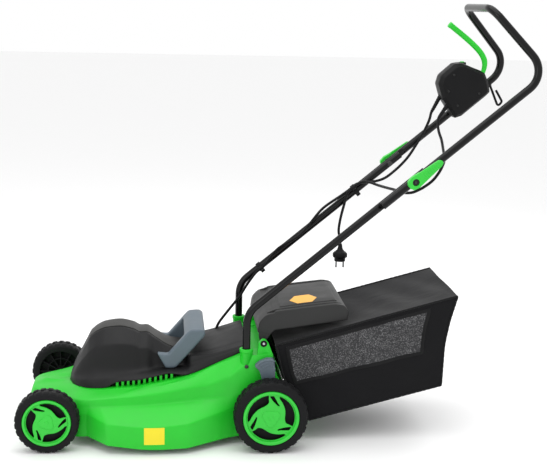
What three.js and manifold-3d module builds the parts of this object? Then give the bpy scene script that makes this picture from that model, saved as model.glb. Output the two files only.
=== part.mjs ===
// Walk-behind electric lawn mower with a rear grass bag.
// Millimetres. +X points rearwards, from the mower to the person behind it, +Y to that person's right, and
// +Z up.
// While it is built, x = 0 lies over the front wheels' centres and z = 0 is the ground;
// the last lines move the whole group so that its origin is the centre of its footprint.

import * as THREE from 'three';
import { mergeVertices } from 'three/addons/utils/BufferGeometryUtils.js';
import Module from 'manifold-3d';

const wasm = await Module();
wasm.setup();

// ---------------------------------------------------------------- driving dimensions

const GAP = 0.4;                       // air between two pieces that rest on each other

const FRONT_WHEEL = { radius: 76, width: 44, x: 0, outerY: 215, capRadius: 57 };
const REAR_WHEEL = { radius: 89, width: 48, x: 528, outerY: 236, capRadius: 67 };
const AXLE_RADIUS = 5;
const CRANK_THROW = { x: -30, z: 11 }; // from a crank's pivot to its wheels' centre
const LINK_THROW = 22;                 // from a crank's pivot up to the link rod's pin
const FRONT_PIVOT = { x: FRONT_WHEEL.x - CRANK_THROW.x, z: FRONT_WHEEL.radius - CRANK_THROW.z };
const REAR_PIVOT = { x: REAR_WHEEL.x - CRANK_THROW.x, z: REAR_WHEEL.radius - CRANK_THROW.z };

const WALL = 4.5;                      // thickness of the moulded deck
const PLATFORM_Z = 110.5;              // top of the plate that carries the motor
const SPINDLE_X = 255;                 // blade spindle
const MOTOR_X = 160;                   // motor shaft, ahead of the spindle
const BELT_Z = { low: 122, high: 134 };
const SPINDLE_PULLEY_R = 45;
const MOTOR_PULLEY_R = 12;
const BLADE_Z = 46;
const BLADE_LENGTH = 360;

const TUBE_R = 9.5;
const LOWER_TUBE_Y = 149;              // centre of each lower tube
const LEG_Y = 160.6;                   // centre of each leg of the upper handle, outside the lower tube
const SOCKET = { x: 472, top: 236, floor: 178, radius: 13.5 };
const KNEE_Z = 325;                    // where the lower tube turns from upright to slanting
const SLOPE = 39.8 * Math.PI / 180;    // slant of the handle
const FOLD_X = 861;                    // bolt on which the upper handle folds
const FOLD = { x: FOLD_X, z: KNEE_Z + (FOLD_X - SOCKET.x) * Math.tan(SLOPE) };
const OVERLAP = { below: 95, above: 36 }; // tube left past the bolt, on the leg and on the lower tube
const ELBOW_X = 1169;
const ELBOW = { x: ELBOW_X, z: KNEE_Z + (ELBOW_X - SOCKET.x) * Math.tan(SLOPE), bend: 54 };
const CROSSBAR = { x: 1036, y: 122, z: 1053, bend: 38 };

const HINGE = { x: 513, z: 251 };      // pin of the rear flap
const FLAP_HALF = 128;
const BAG_HALF = 156;
const BAG_CLOTH = 3.5;

const CABLE_R = 3.5;
const LEFT = -1;
const RIGHT = 1;

// ---------------------------------------------------------------- materials

function finish(color, roughness, metalness = 0) {
  return new THREE.MeshStandardMaterial({ color, roughness, metalness });
}

const GREEN_PLASTIC = finish(0x2fce2f, 0.45);
const BLACK_PLASTIC = finish(0x1c1c1e, 0.6);
const HOOD_PLASTIC = finish(0x2b2c2d, 0.55);
const GREY_PLASTIC = finish(0x66737d, 0.5);
const FLAP_PLASTIC = finish(0x4a4b4b, 0.6);
const TYRE_PLASTIC = finish(0x26282a, 0.8);
const BLACK_TUBE = finish(0x0c0c0d, 0.25, 0.3);
const STEEL = finish(0xb9bcc0, 0.35, 1);
const BLACKENED_STEEL = finish(0x2a2b2d, 0.45, 0.8);
const ALUMINIUM = finish(0xc2c5c8, 0.4, 1);
const COPPER = finish(0xa86a3a, 0.4, 0.9);
const RUBBER = finish(0x141415, 0.85);
const FABRIC = finish(0x18181a, 0.95);

// ---------------------------------------------------------------- solids

// Closed geometry to a solid that can be joined and cut.
function solid(geometry) {
  const bare = geometry.clone();
  bare.deleteAttribute('normal');
  bare.deleteAttribute('uv');
  const merged = mergeVertices(bare, 1e-4);
  return new wasm.Manifold(new wasm.Mesh({
    numProp: 3,
    vertProperties: new Float32Array(merged.attributes.position.array),
    triVerts: new Uint32Array(merged.index.array),
  }));
}

// Solid back to a geometry with its own normals.
function geometryOf(shape) {
  const mesh = shape.getMesh();
  const geometry = new THREE.BufferGeometry();
  geometry.setAttribute('position', new THREE.BufferAttribute(new Float32Array(mesh.vertProperties), 3));
  geometry.setIndex(new THREE.BufferAttribute(new Uint32Array(mesh.triVerts), 1));
  geometry.computeVertexNormals();
  return geometry;
}

const join = (first, ...others) => others.reduce((sum, other) => sum.add(other), first);
const cut = (first, ...others) => others.reduce((rest, other) => rest.subtract(other), first);

// Cylinder along Y from y0 to y1, centred at (x, z).
function rodY(radius, y0, y1, x, z, sides = 14) {
  const geometry = new THREE.CylinderGeometry(radius, radius, Math.abs(y1 - y0), sides);
  return solid(geometry.translate(x, (y0 + y1) / 2, z));
}

// Cylinder along Z from z0 to z1, centred at (x, y).
function rodZ(radius, z0, z1, x, y, sides = 16) {
  const geometry = new THREE.CylinderGeometry(radius, radius, z1 - z0, sides).rotateX(Math.PI / 2);
  return solid(geometry.translate(x, y, (z0 + z1) / 2));
}

function box(x0, x1, y0, y1, z0, z1) {
  const geometry = new THREE.BoxGeometry(x1 - x0, y1 - y0, z1 - z0);
  return solid(geometry.translate((x0 + x1) / 2, (y0 + y1) / 2, (z0 + z1) / 2));
}

// Outline of [x, z] points, as thick as y0 to y1.
function plateY(points, y0, y1) {
  const shape = new THREE.Shape(points.map(([x, z]) => new THREE.Vector2(x, z)));
  const geometry = new THREE.ExtrudeGeometry(shape, { depth: y1 - y0, bevelEnabled: false });
  return solid(geometry.rotateX(Math.PI / 2).translate(0, y1, 0));
}

// Outline of [x, y] points, from z0 up to z1.
function plateZ(points, z0, z1) {
  const shape = new THREE.Shape(points.map(([x, y]) => new THREE.Vector2(x, y)));
  const geometry = new THREE.ExtrudeGeometry(shape, { depth: z1 - z0, bevelEnabled: false });
  return solid(geometry.translate(0, 0, z0));
}

// Profile of [radius, height] points turned about the Y axis; the profile closes on itself or on the axis.
// The turning starts half a segment on, so that a flat facet looks straight down.
function turnedY(profile, segments) {
  const points = profile.map(([r, y]) => new THREE.Vector2(r, y));
  return solid(new THREE.LatheGeometry(points, segments, Math.PI / segments));
}

// The same about the Z axis.
function turnedZ(profile, segments) {
  const geometry = new THREE.LatheGeometry(profile.map(([r, z]) => new THREE.Vector2(r, z)), segments);
  return solid(geometry.rotateX(Math.PI / 2));
}

// Straight runs between the points, with every inner corner rounded.
function roundedPath(points, bend) {
  const path = new THREE.CurvePath();
  const corners = points.map((p) => new THREE.Vector3(...p));
  let start = corners[0];
  for (let i = 1; i < corners.length - 1; i++) {
    const before = corners[i - 1].clone().sub(corners[i]).normalize();
    const after = corners[i + 1].clone().sub(corners[i]).normalize();
    const half = before.angleTo(after) / 2;
    const reach = (Array.isArray(bend) ? bend[i - 1] : bend) / Math.tan(half);
    const enter = corners[i].clone().addScaledVector(before, reach);
    const leave = corners[i].clone().addScaledVector(after, reach);
    path.add(new THREE.LineCurve3(start, enter));
    const pull = 4 / 3 * Math.tan((Math.PI - 2 * half) / 4) / Math.tan(Math.PI / 2 - half);
    path.add(new THREE.CubicBezierCurve3(
      enter,
      enter.clone().addScaledVector(before, -reach * pull),
      leave.clone().addScaledVector(after, -reach * pull),
      leave,
    ));
    start = leave;
  }
  path.add(new THREE.LineCurve3(start, corners[corners.length - 1]));
  return path;
}

// Round bar along a curve.
function bar(curve, radius, steps, sides = 12) {
  const section = new THREE.Shape();
  for (let i = 0; i < sides; i++) {
    const angle = 2 * Math.PI * i / sides;
    const [x, y] = [radius * Math.cos(angle), radius * Math.sin(angle)];
    if (i === 0) section.moveTo(x, y);
    else section.lineTo(x, y);
  }
  section.closePath();
  return new THREE.ExtrudeGeometry(section, { steps, extrudePath: curve, bevelEnabled: false });
}

// Smooth cable through the points.
function cable(points, steps) {
  const curve = new THREE.CatmullRomCurve3(points.map((p) => new THREE.Vector3(...p)), false, 'centripetal');
  return bar(curve, CABLE_R, steps, 8);
}

// Closed shell through rings of half outlines: each ring lists [x, y, z] from the front middle (y = 0)
// round the right side to the rear; the left side mirrors it.
function loftHalves(rings) {
  const positions = [];
  const index = [];
  const half = rings[0].length;
  const perRing = 2 * half - 1;
  for (const ring of rings) {
    for (const [x, y, z] of ring) positions.push(x, y, z);
    for (const [x, y, z] of ring.slice(1)) positions.push(x, -y, z);
  }
  const right = (ring, i) => ring * perRing + i;
  const left = (ring, i) => (i === 0 ? ring * perRing : ring * perRing + half + i - 1);
  const quad = (a, b, c, d) => index.push(a, b, c, a, c, d);
  for (let k = 0; k < rings.length - 1; k++) {
    for (let i = 0; i < half - 1; i++) {
      quad(right(k, i), right(k + 1, i), right(k + 1, i + 1), right(k, i + 1));
      quad(left(k, i + 1), left(k + 1, i + 1), left(k + 1, i), left(k, i));
    }
    quad(right(k, half - 1), right(k + 1, half - 1), left(k + 1, half - 1), left(k, half - 1));
  }
  const last = rings.length - 1;
  index.push(right(0, 0), right(0, 1), left(0, 1));
  index.push(right(last, 0), left(last, 1), right(last, 1));
  for (let i = 1; i < half - 1; i++) {
    quad(right(0, i), right(0, i + 1), left(0, i + 1), left(0, i));
    quad(right(last, i), left(last, i), left(last, i + 1), right(last, i + 1));
  }
  const geometry = new THREE.BufferGeometry();
  geometry.setAttribute('position', new THREE.BufferAttribute(new Float32Array(positions), 3));
  geometry.setIndex(index);
  return solid(geometry);
}

// Closed shell through cross-sections along X: each lists [y, z] from the right foot up to the middle.
function loftSections(stations) {
  const rings = stations.map(({ x, half }) => {
    const rightSide = half.map(([y, z]) => [x, y, z]);
    const leftSide = half.slice(0, -1).reverse().map(([y, z]) => [x, -y, z]);
    return [...rightSide, ...leftSide];
  });
  const count = rings[0].length;
  const positions = rings.flat(2);
  const index = [];
  for (let k = 0; k < rings.length - 1; k++) {
    for (let i = 0; i < count; i++) {
      const [a, b] = [k * count + i, k * count + (i + 1) % count];
      index.push(a, b, b + count, a, b + count, a + count);
    }
  }
  const end = (rings.length - 1) * count;
  for (let i = 1; i < count - 1; i++) {
    index.push(0, i + 1, i);
    index.push(end, end + i, end + i + 1);
  }
  const geometry = new THREE.BufferGeometry();
  geometry.setAttribute('position', new THREE.BufferAttribute(new Float32Array(positions), 3));
  geometry.setIndex(index);
  return solid(geometry);
}

// ---------------------------------------------------------------- places along the handle

// Point at s along the handle from the fold bolt, n square to it (up and forward), at side y.
function onHandle(s, n, y) {
  return [
    FOLD.x + s * Math.cos(SLOPE) - n * Math.sin(SLOPE),
    y,
    FOLD.z + s * Math.sin(SLOPE) + n * Math.cos(SLOPE),
  ];
}

// Turns a shape whose own x axis is the handle's direction into place at the fold bolt.
function alongHandle(geometry) {
  return geometry.rotateY(-SLOPE).translate(FOLD.x, 0, FOLD.z);
}

function boxOnHandle(s0, s1, y0, y1, n0, n1) {
  const geometry = new THREE.BoxGeometry(s1 - s0, y1 - y0, n1 - n0);
  return solid(alongHandle(geometry.translate((s0 + s1) / 2, (y0 + y1) / 2, (n0 + n1) / 2)));
}

function plateOnHandle(points, y0, y1) {
  const shape = new THREE.Shape(points.map(([s, n]) => new THREE.Vector2(s, n)));
  const geometry = new THREE.ExtrudeGeometry(shape, { depth: y1 - y0, bevelEnabled: false });
  return solid(alongHandle(geometry.rotateX(Math.PI / 2).translate(0, y1, 0)));
}

// Ring round a tube at s along the handle; r0 and r1 are its inner and outer radii.
function ringOnHandle(s, width, y, n, r0, r1) {
  const profile = [[r0, -width / 2], [r1, -width / 2], [r1, width / 2], [r0, width / 2], [r0, -width / 2]];
  const geometry = new THREE.LatheGeometry(profile.map(([r, h]) => new THREE.Vector2(r, h)), 12);
  return solid(alongHandle(geometry.rotateZ(-Math.PI / 2).translate(s, y, n)));
}

// ---------------------------------------------------------------- the model

const mower = new THREE.Group();

function add(name, shape, material) {
  const geometry = shape.isBufferGeometry ? shape : geometryOf(shape);
  const mesh = new THREE.Mesh(geometry, material);
  mesh.name = name;
  mower.add(mesh);
  return mesh;
}

const sideName = (side) => (side === LEFT ? 'left' : 'right');

// Mirrors a [y0, y1] span to one side and sorts it.
function span(side, inner, outer) {
  return side === LEFT ? [-outer, -inner] : [inner, outer];
}

// ---- deck

// Height of the deck's rim, on which the hood sits, along the mower.
const RIM = [[-20, 120], [40, 123], [66, 126], [95, 127], [130, 129], [215, 136], [345, 166], [410, 196],
  [456, 216], [494, 222], [530, 228]];
const RIM_HALF = [0, 38, 96, 122, 129, 131, 131, 135, 144, 158, 160];

function rimHeight(x) {
  const next = RIM.findIndex(([at]) => at >= x);
  if (next <= 0) return RIM[0][1];
  const [[x0, z0], [x1, z1]] = [RIM[next - 1], RIM[next]];
  return z0 + (z1 - z0) * (x - x0) / (x1 - x0);
}

// Half outlines of the deck from the skirt's foot up to the rim: nose middle, nose corner, nose side,
// behind the front wheel, start of the blade bulge, its front corner, two at its widest, its rear corner,
// ahead of the rear wheel, rear end.
const DECK_RINGS = {
  foot: [[-52, 0, 42], [-50, 42, 42], [28, 108, 40], [70, 158, 38], [94, 180, 36], [142, 222, 24],
    [240, 232, 14], [330, 228, 15], [420, 180, 32], [452, 168, 38], [600, 165, 45]],
  skirt: [[-56, 0, 80], [-54, 44, 80], [26, 112, 80], [70, 162, 82], [93, 183, 82], [140, 226, 76],
    [240, 236, 70], [330, 232, 76], [421, 182, 90], [453, 169, 95], [587, 165, 78]],
  ledge: [[-55, 0, 92], [-53, 44, 92], [27, 111, 93], [70, 160, 95], [98, 172, 98], [124, 170, 100],
    [240, 164, 102], [360, 160, 112], [430, 166, 120], [456, 168, 127], [572, 165, 112]],
  crease: [[-50, 0, 108], [-48, 42, 108], [30, 108, 110], [68, 156, 114], [98, 167, 116], [130, 167, 118],
    [212, 165, 123], [375, 163, 148], [430, 164, 168], [456, 165, 190], [542, 165, 182]],
};

// One ring drawn in by the wall's thickness, square to its own outline, and lowered.
function drawnIn(ring, drop) {
  return ring.map(([x, y, z], i) => {
    const before = ring[Math.max(i - 1, 0)];
    const after = ring[Math.min(i + 1, ring.length - 1)];
    const along = new THREE.Vector2(after[0] - before[0], after[1] - before[1]).normalize();
    if (i === 0) return [x + WALL, 0, z - drop];
    if (i === ring.length - 1) return [x - WALL, y - WALL, z - drop];
    return [x + along.y * WALL, y - along.x * WALL, z - drop];
  });
}

const NOSE_END = 62;                   // where the deck's nose, sides and rear part meet
const REAR_START = 438;

// The one moulding as five bodies, each simple enough for collision pieces to follow it.
function addDeckParts(deck, inside) {
  const seam = GAP / 2;
  const middle = box(NOSE_END + seam, REAR_START - seam, -300, 300, -50, 400);
  const core = inside.intersect(middle);
  const gapRound = [[1, 0], [-1, 0], [0, 1], [0, -1]].map(([x, y]) => core.translate([x * GAP, y * GAP, 0]));
  const plate = gapRound.reduce((rest, moved) => rest.intersect(moved), core)
    .intersect(box(0, 600, -300, 300, 90, 240));
  add('deck_nose', deck.intersect(box(-100, NOSE_END - seam, -300, 300, -50, 400)), GREEN_PLASTIC);
  for (const side of [LEFT, RIGHT]) {
    const half = box(NOSE_END + seam, REAR_START - seam, ...span(side, 0, 300), -50, 400);
    add(`deck_${sideName(side)}_side`, cut(deck.intersect(half), inside), GREEN_PLASTIC);
  }
  add('deck_platform', deck.intersect(plate), GREEN_PLASTIC);
  add('deck_rear', deck.intersect(box(REAR_START + seam, 700, -300, 300, -50, 400)), GREEN_PLASTIC);
}

function makeDeck() {
  const rim = RIM.map(([x, z], i) => [x, RIM_HALF[i], z]);
  const rings = [DECK_RINGS.foot, DECK_RINGS.skirt, DECK_RINGS.ledge, DECK_RINGS.crease, rim];
  const outside = loftHalves(rings);
  const openFoot = rings[0].map(([x, y, z]) => [x, y, z - 40]);
  const inside = loftHalves([drawnIn(openFoot, 0), ...rings.slice(1).map((ring) => drawnIn(ring, WALL))]);
  const hoodOpening = plateZ([[64, -60], [96, -98], [345, -104], [462, -104], [462, 104], [345, 104],
    [96, 98], [64, 60]], 60, 300);
  let deck = cut(outside, inside, hoodOpening);

  // Motor platform, which then climbs as the roof of the grass channel.
  const platform = plateY([[45, PLATFORM_Z - WALL], [300, PLATFORM_Z - WALL], [506, 212], [520, 212],
    [520, 217], [505, 217], [299, PLATFORM_Z], [45, PLATFORM_Z]], -200, 200);
  deck = join(deck, platform.intersect(outside));

  // Side walls of the grass channel.
  const channelWall = [[440, 60], [440, 185], [505, 214], [530, 214], [586, 60]];
  for (const side of [LEFT, RIGHT]) {
    deck = join(deck, plateY(channelWall, ...span(side, 134, 137.5)).intersect(outside));
  }
  deck = cut(deck, box(500, 640, -130, 130, 98, 210));

  // Bearing housing of the spindle.
  deck = join(deck, rodZ(25, 92, 116, SPINDLE_X, 0));
  deck = cut(deck, rodZ(17.4, 96, 140, SPINDLE_X, 0), rodZ(11, 80, 100, SPINDLE_X, 0));

  // Sockets of the handle, ears of the flap's pin.
  const ear = [[496, 214], [502, 250], [506, 257.5], [513, 261], [520, 257.5], [524, 250], [534, 224],
    [534, 214]];
  for (const side of [LEFT, RIGHT]) {
    deck = join(deck, rodZ(SOCKET.radius, 120, SOCKET.top, SOCKET.x, side * LOWER_TUBE_Y));
    deck = join(deck, plateY(ear, ...span(side, 146, 158)));
  }
  for (const side of [LEFT, RIGHT]) {
    deck = cut(deck,
      rodZ(TUBE_R + GAP, SOCKET.floor, SOCKET.top + 20, SOCKET.x, side * LOWER_TUBE_Y),
      rodY(2.6, ...span(side, 120, 180), SOCKET.x, 196, 12));
  }
  deck = cut(deck,
    rodY(3.4, -200, 200, HINGE.x, HINGE.z, 16),
    rodY(AXLE_RADIUS + 0.6, -200, 200, FRONT_PIVOT.x, FRONT_PIVOT.z),
    rodY(AXLE_RADIUS + 0.6, -200, 200, REAR_PIVOT.x, REAR_PIVOT.z));
  addDeckParts(deck, inside);
}

// ---- hood over the motor

// Cross-sections of the hood, each point as [half-width, height]: its foot on the rim, the edge and the
// inside of the ledge round it, the shoulder, the edge of the ridge along the top, and the ridge's height.
const HOOD = [
  { x: 42, foot: 34, ledge: [32, 128], waist: [30, 129], shoulder: [27, 130], ridge: 14, top: 132 },
  { x: 52, foot: 70, ledge: [66, 138], waist: [56, 143], shoulder: [46, 150], ridge: 26, top: 160 },
  { x: 66, foot: 92, ledge: [88, 141], waist: [70, 149], shoulder: [55, 172], ridge: 32, top: 186 },
  { x: 80, foot: 104, ledge: [100, 144], waist: [78, 154], shoulder: [62, 194], ridge: 34, top: 216 },
  { x: 92, foot: 111, ledge: [106, 146], waist: [84, 157], shoulder: [68, 212], ridge: 36, top: 241 },
  { x: 108, foot: 115, ledge: [109, 148], waist: [89, 160], shoulder: [75, 226], ridge: 38, top: 255 },
  { x: 130, foot: 117, ledge: [110, 150], waist: [92, 162], shoulder: [80, 234], ridge: 39, top: 266 },
  { x: 164, foot: 118, ledge: [111, 153], waist: [94, 164], shoulder: [83, 238], ridge: 40, top: 271 },
  { x: 198, foot: 119, ledge: [110, 157], waist: [92, 166], shoulder: [80, 234], ridge: 40, top: 264 },
  { x: 230, foot: 119, ledge: [107, 161], waist: [86, 167], shoulder: [76, 224], ridge: 40, top: 255 },
  { x: 252, foot: 120, ledge: [104, 165], waist: [74, 167], shoulder: [71, 206], ridge: 41, top: 238 },
  { x: 286, foot: 120, ledge: [104, 167], waist: [73, 168], shoulder: [70, 192], ridge: 46, top: 214 },
  { x: 324, foot: 121, ledge: [106, 172], waist: [73, 174], shoulder: [71, 194], ridge: 56, top: 205 },
  { x: 340, foot: 121, ledge: [114, 178], waist: [106, 184], shoulder: [100, 203], ridge: 76, top: 207 },
  { x: 382, foot: 122, ledge: [117, 197], waist: [111, 202], shoulder: [106, 209], ridge: 80, top: 213 },
  { x: 440, foot: 122, ledge: [118, 218], waist: [114, 221], shoulder: [109, 225], ridge: 82, top: 230 },
  { x: 456, foot: 121, ledge: [118, 224], waist: [114, 227], shoulder: [109, 230], ridge: 82, top: 235 },
  { x: 474, foot: 120, ledge: [117, 228], waist: [114, 231], shoulder: [110, 235], ridge: 82, top: 240 },
];

function hoodHalf({ x, foot, ledge, waist, shoulder, ridge, top }, inset) {
  const base = rimHeight(x) + (inset > 0 ? -20 : GAP + 0.2);
  return [
    [foot - inset, base],
    [ledge[0] - inset, ledge[1] - inset],
    [waist[0] - inset, waist[1] - inset],
    [shoulder[0] - inset, shoulder[1] - inset],
    [ridge, top - inset - 2],
    [0, top - inset],
  ];
}

function makeHood() {
  const wall = 3.2;
  const outside = loftSections(HOOD.map((station) => ({ x: station.x, half: hoodHalf(station, 0) })));
  const inner = HOOD.slice(1).map((station) => ({ x: station.x, half: hoodHalf(station, wall) }));
  inner[0].x += wall;
  inner[inner.length - 1].x -= wall;
  const vents = [155, 180, 205, 230, 255, 280].map((x) => box(x, x + 9, -140, 140, 120,
    148 + (x - 155) * 0.1));
  add('motor_hood', cut(outside, loftSections(inner), ...vents), HOOD_PLASTIC);
}

function makeCarryHandle() {
  const leg = [[257, 209], [284, 206], [332, 262], [340, 268], [366, 269], [375, 262], [374, 252], [303, 171],
    [279, 170]];
  const grip = [[322, 250], [332, 262], [340, 268], [366, 269], [375, 262], [374, 252], [364, 240],
    [340, 238]];
  const legs = [LEFT, RIGHT].map((side) => plateY(leg, ...span(side, 75.5, 97)));
  add('carry_handle', join(plateY(grip, -97, 97), ...legs), GREY_PLASTIC);
}

// ---- motor, belt and blade

function makeDrive() {
  const bracketZ = BELT_Z.high + 5;
  const feet = [[105, 62], [215, 62]].flatMap(([x, y]) => [rodZ(6, PLATFORM_Z + GAP, bracketZ, x, y, 12),
    rodZ(6, PLATFORM_Z + GAP, bracketZ, x, -y, 12)]);
  const bracket = join(box(95, 225, -70, 70, bracketZ - 0.5, bracketZ + 3), ...feet);
  add('motor_bracket', cut(bracket, rodZ(9, 100, 200, MOTOR_X, 0)), STEEL);

  const canLow = bracketZ + 3 + GAP;
  const canHigh = canLow + 94;
  const can = turnedZ([[44, 0], [50, 0], [50, 92], [46, 94], [6, 94], [6, 90], [44, 88], [44, 0]], 24);
  add('motor_can', can.translate([MOTOR_X, 0, canLow]), STEEL);
  const armature = turnedZ([[0, BELT_Z.low - 5], [5, BELT_Z.low - 5], [5, canLow + 8], [38, canLow + 12],
    [38, canLow + 76], [5, canLow + 80], [5, canHigh + 6], [0, canHigh + 6]], 20);
  add('armature', armature.translate([MOTOR_X, 0, 0]), COPPER);

  const grooved = (radius, bore) => [[bore, BELT_Z.low - 3], [radius + 3, BELT_Z.low - 3],
    [radius + 3, BELT_Z.low - 1], [radius - 1, BELT_Z.low], [radius - 1, BELT_Z.high],
    [radius + 3, BELT_Z.high + 1], [radius + 3, BELT_Z.high + 2], [bore, BELT_Z.high + 2],
    [bore, BELT_Z.low - 3]];
  add('motor_pulley', turnedZ(grooved(MOTOR_PULLEY_R, 5.3), 16).translate([MOTOR_X, 0, 0]), ALUMINIUM);
  add('spindle_pulley', turnedZ(grooved(SPINDLE_PULLEY_R, 8.3), 24).translate([SPINDLE_X, 0, 0]), ALUMINIUM);

  // Flat belt round both pulleys: the outline of two circles and their common tangents.
  const outline = (extra) => {
    const [small, large] = [MOTOR_PULLEY_R + extra, SPINDLE_PULLEY_R + extra];
    const lean = Math.acos((large - small) / (SPINDLE_X - MOTOR_X));
    const points = [];
    for (let i = 0; i <= 20; i++) {
      const a = -(Math.PI - lean) + 2 * (Math.PI - lean) * i / 20;
      points.push([SPINDLE_X + large * Math.cos(a), large * Math.sin(a)]);
    }
    for (let i = 0; i <= 10; i++) {
      const a = Math.PI - lean + 2 * lean * i / 10;
      points.push([MOTOR_X + small * Math.cos(a), small * Math.sin(a)]);
    }
    return points;
  };
  const belt = cut(plateZ(outline(3), BELT_Z.low + 1, BELT_Z.high - 1), plateZ(outline(0), 100, 150));
  add('drive_belt', belt, RUBBER);

  const spindle = turnedZ([[0, 40], [8, 40], [8, BELT_Z.high + 6], [0, BELT_Z.high + 6]], 16);
  add('spindle', spindle.translate([SPINDLE_X, 0, 0]), STEEL);
  const bearing = turnedZ([[8.3, 97], [17, 97], [17, 113], [8.3, 113], [8.3, 97]], 16);
  add('spindle_bearing', bearing.translate([SPINDLE_X, 0, 0]), STEEL);

  const carrier = turnedZ([[8.4, BLADE_Z + 4], [34, BLADE_Z + 4], [34, BLADE_Z + 8], [16, BLADE_Z + 12],
    [16, 88], [8.4, 88], [8.4, BLADE_Z + 4]], 20).translate([SPINDLE_X, 0, 0]);
  const vanes = [0, 1, 2, 3, 4, 5].map((i) => box(14, 58, -1.5, 1.5, BLADE_Z + 6, 80)
    .rotate([0, 0, 60 * i]).translate([SPINDLE_X, 0, 0]));
  add('blade_carrier', join(carrier, ...vanes), BLACK_PLASTIC);
  const halfBlade = BLADE_LENGTH / 2;
  const flat = box(SPINDLE_X - 24, SPINDLE_X + 24, -halfBlade, halfBlade, BLADE_Z, BLADE_Z + 3.5);
  const wing = [[-24, 0], [-24, 3.5], [-30, 15], [-33, 15], [-28, 0]];
  const wings = [LEFT, RIGHT].map((side) => plateY(wing.map(([x, z]) => [SPINDLE_X + side * x, BLADE_Z + z]),
    ...span(side, 105, halfBlade)));
  add('blade', cut(join(flat, ...wings), rodZ(8.4, 0, 100, SPINDLE_X, 0)), STEEL);
  const bolt = turnedZ([[0, 26], [9, 26], [9, 34], [16, 35], [16, 39.6], [0, 39.6]], 6);
  add('blade_bolt', bolt.translate([SPINDLE_X, 0, 0]), STEEL);
}

// ---- wheels and height setting

const TREAD_FACETS = 24;

// The tread's corners stand a little outside the wheel's radius, so that its flat facets touch the ground.
function makeWheel(end, side, wheel) {
  const name = `${end}_${sideName(side)}`;
  const { radius, width, capRadius } = wheel;
  const half = width / 2;
  const tread = radius / Math.cos(Math.PI / TREAD_FACETS);
  const tyre = turnedY([[5.3, -10], [14, -10], [14, -3], [capRadius - 2, -3], [capRadius - 2, -half + 1],
    [tread - 5, -half], [tread, -half + 8], [tread, half - 8], [tread - 5, half], [capRadius + 1.2, half - 1],
    [capRadius + 1.2, 4], [14, 4], [14, 10], [5.3, 10], [5.3, -10]], TREAD_FACETS);
  const cap = turnedY([[0, 13], [capRadius - 10, 13], [capRadius, 7], [capRadius, half],
    [capRadius - 6, half + 1], [capRadius - 12, 16], [20, 18], [0, 19], [0, 13]], 20);
  const place = (shape) => {
    const turned = side === LEFT ? shape.rotate([180, 0, 0]) : shape;
    return turned.translate([wheel.x, side * (wheel.outerY - half), radius]);
  };
  add(`${name}_wheel`, place(tyre), TYRE_PLASTIC);
  add(`${name}_hubcap`, place(cap), GREEN_PLASTIC);
}

// Cranked axle: a bar across the deck, an arm at each end and the stub on which a wheel turns, its washer
// riveted on.
function crank(pivot, wheel, armY, linkY) {
  const centre = { x: wheel.x, z: wheel.radius };
  const arm = [[pivot.x + 9, pivot.z - 4], [pivot.x + 6, pivot.z + 7], [centre.x - 2, centre.z + 8],
    [centre.x - 9, centre.z + 3], [centre.x - 6, centre.z - 7], [pivot.x + 3, pivot.z - 8]];
  const stubEnd = wheel.outerY - wheel.width / 2 + 12.6;
  let axle = rodY(AXLE_RADIUS, -armY - 4, armY + 4, pivot.x, pivot.z, 12);
  for (const side of [LEFT, RIGHT]) {
    const stub = join(rodY(AXLE_RADIUS, ...span(side, armY, stubEnd), centre.x, centre.z, 12),
      rodY(8.5, ...span(side, stubEnd - 2, stubEnd - 0.6), centre.x, centre.z, 12));
    axle = join(axle, plateY(arm, ...span(side, armY, armY + 7)), stub);
  }
  const linkArm = [[pivot.x - 7, pivot.z - 5], [pivot.x + 7, pivot.z - 5],
    [pivot.x + 5, pivot.z + LINK_THROW + 4], [pivot.x - 5, pivot.z + LINK_THROW + 4]];
  return join(axle, plateY(linkArm, -linkY + 3.6, -linkY + 7.6),
    rodY(2.8, -linkY - 5, -linkY + 5, pivot.x, pivot.z + LINK_THROW, 12));
}

const FRONT_LINK_Y = 70;
const REAR_LINK_Y = 148;

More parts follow.
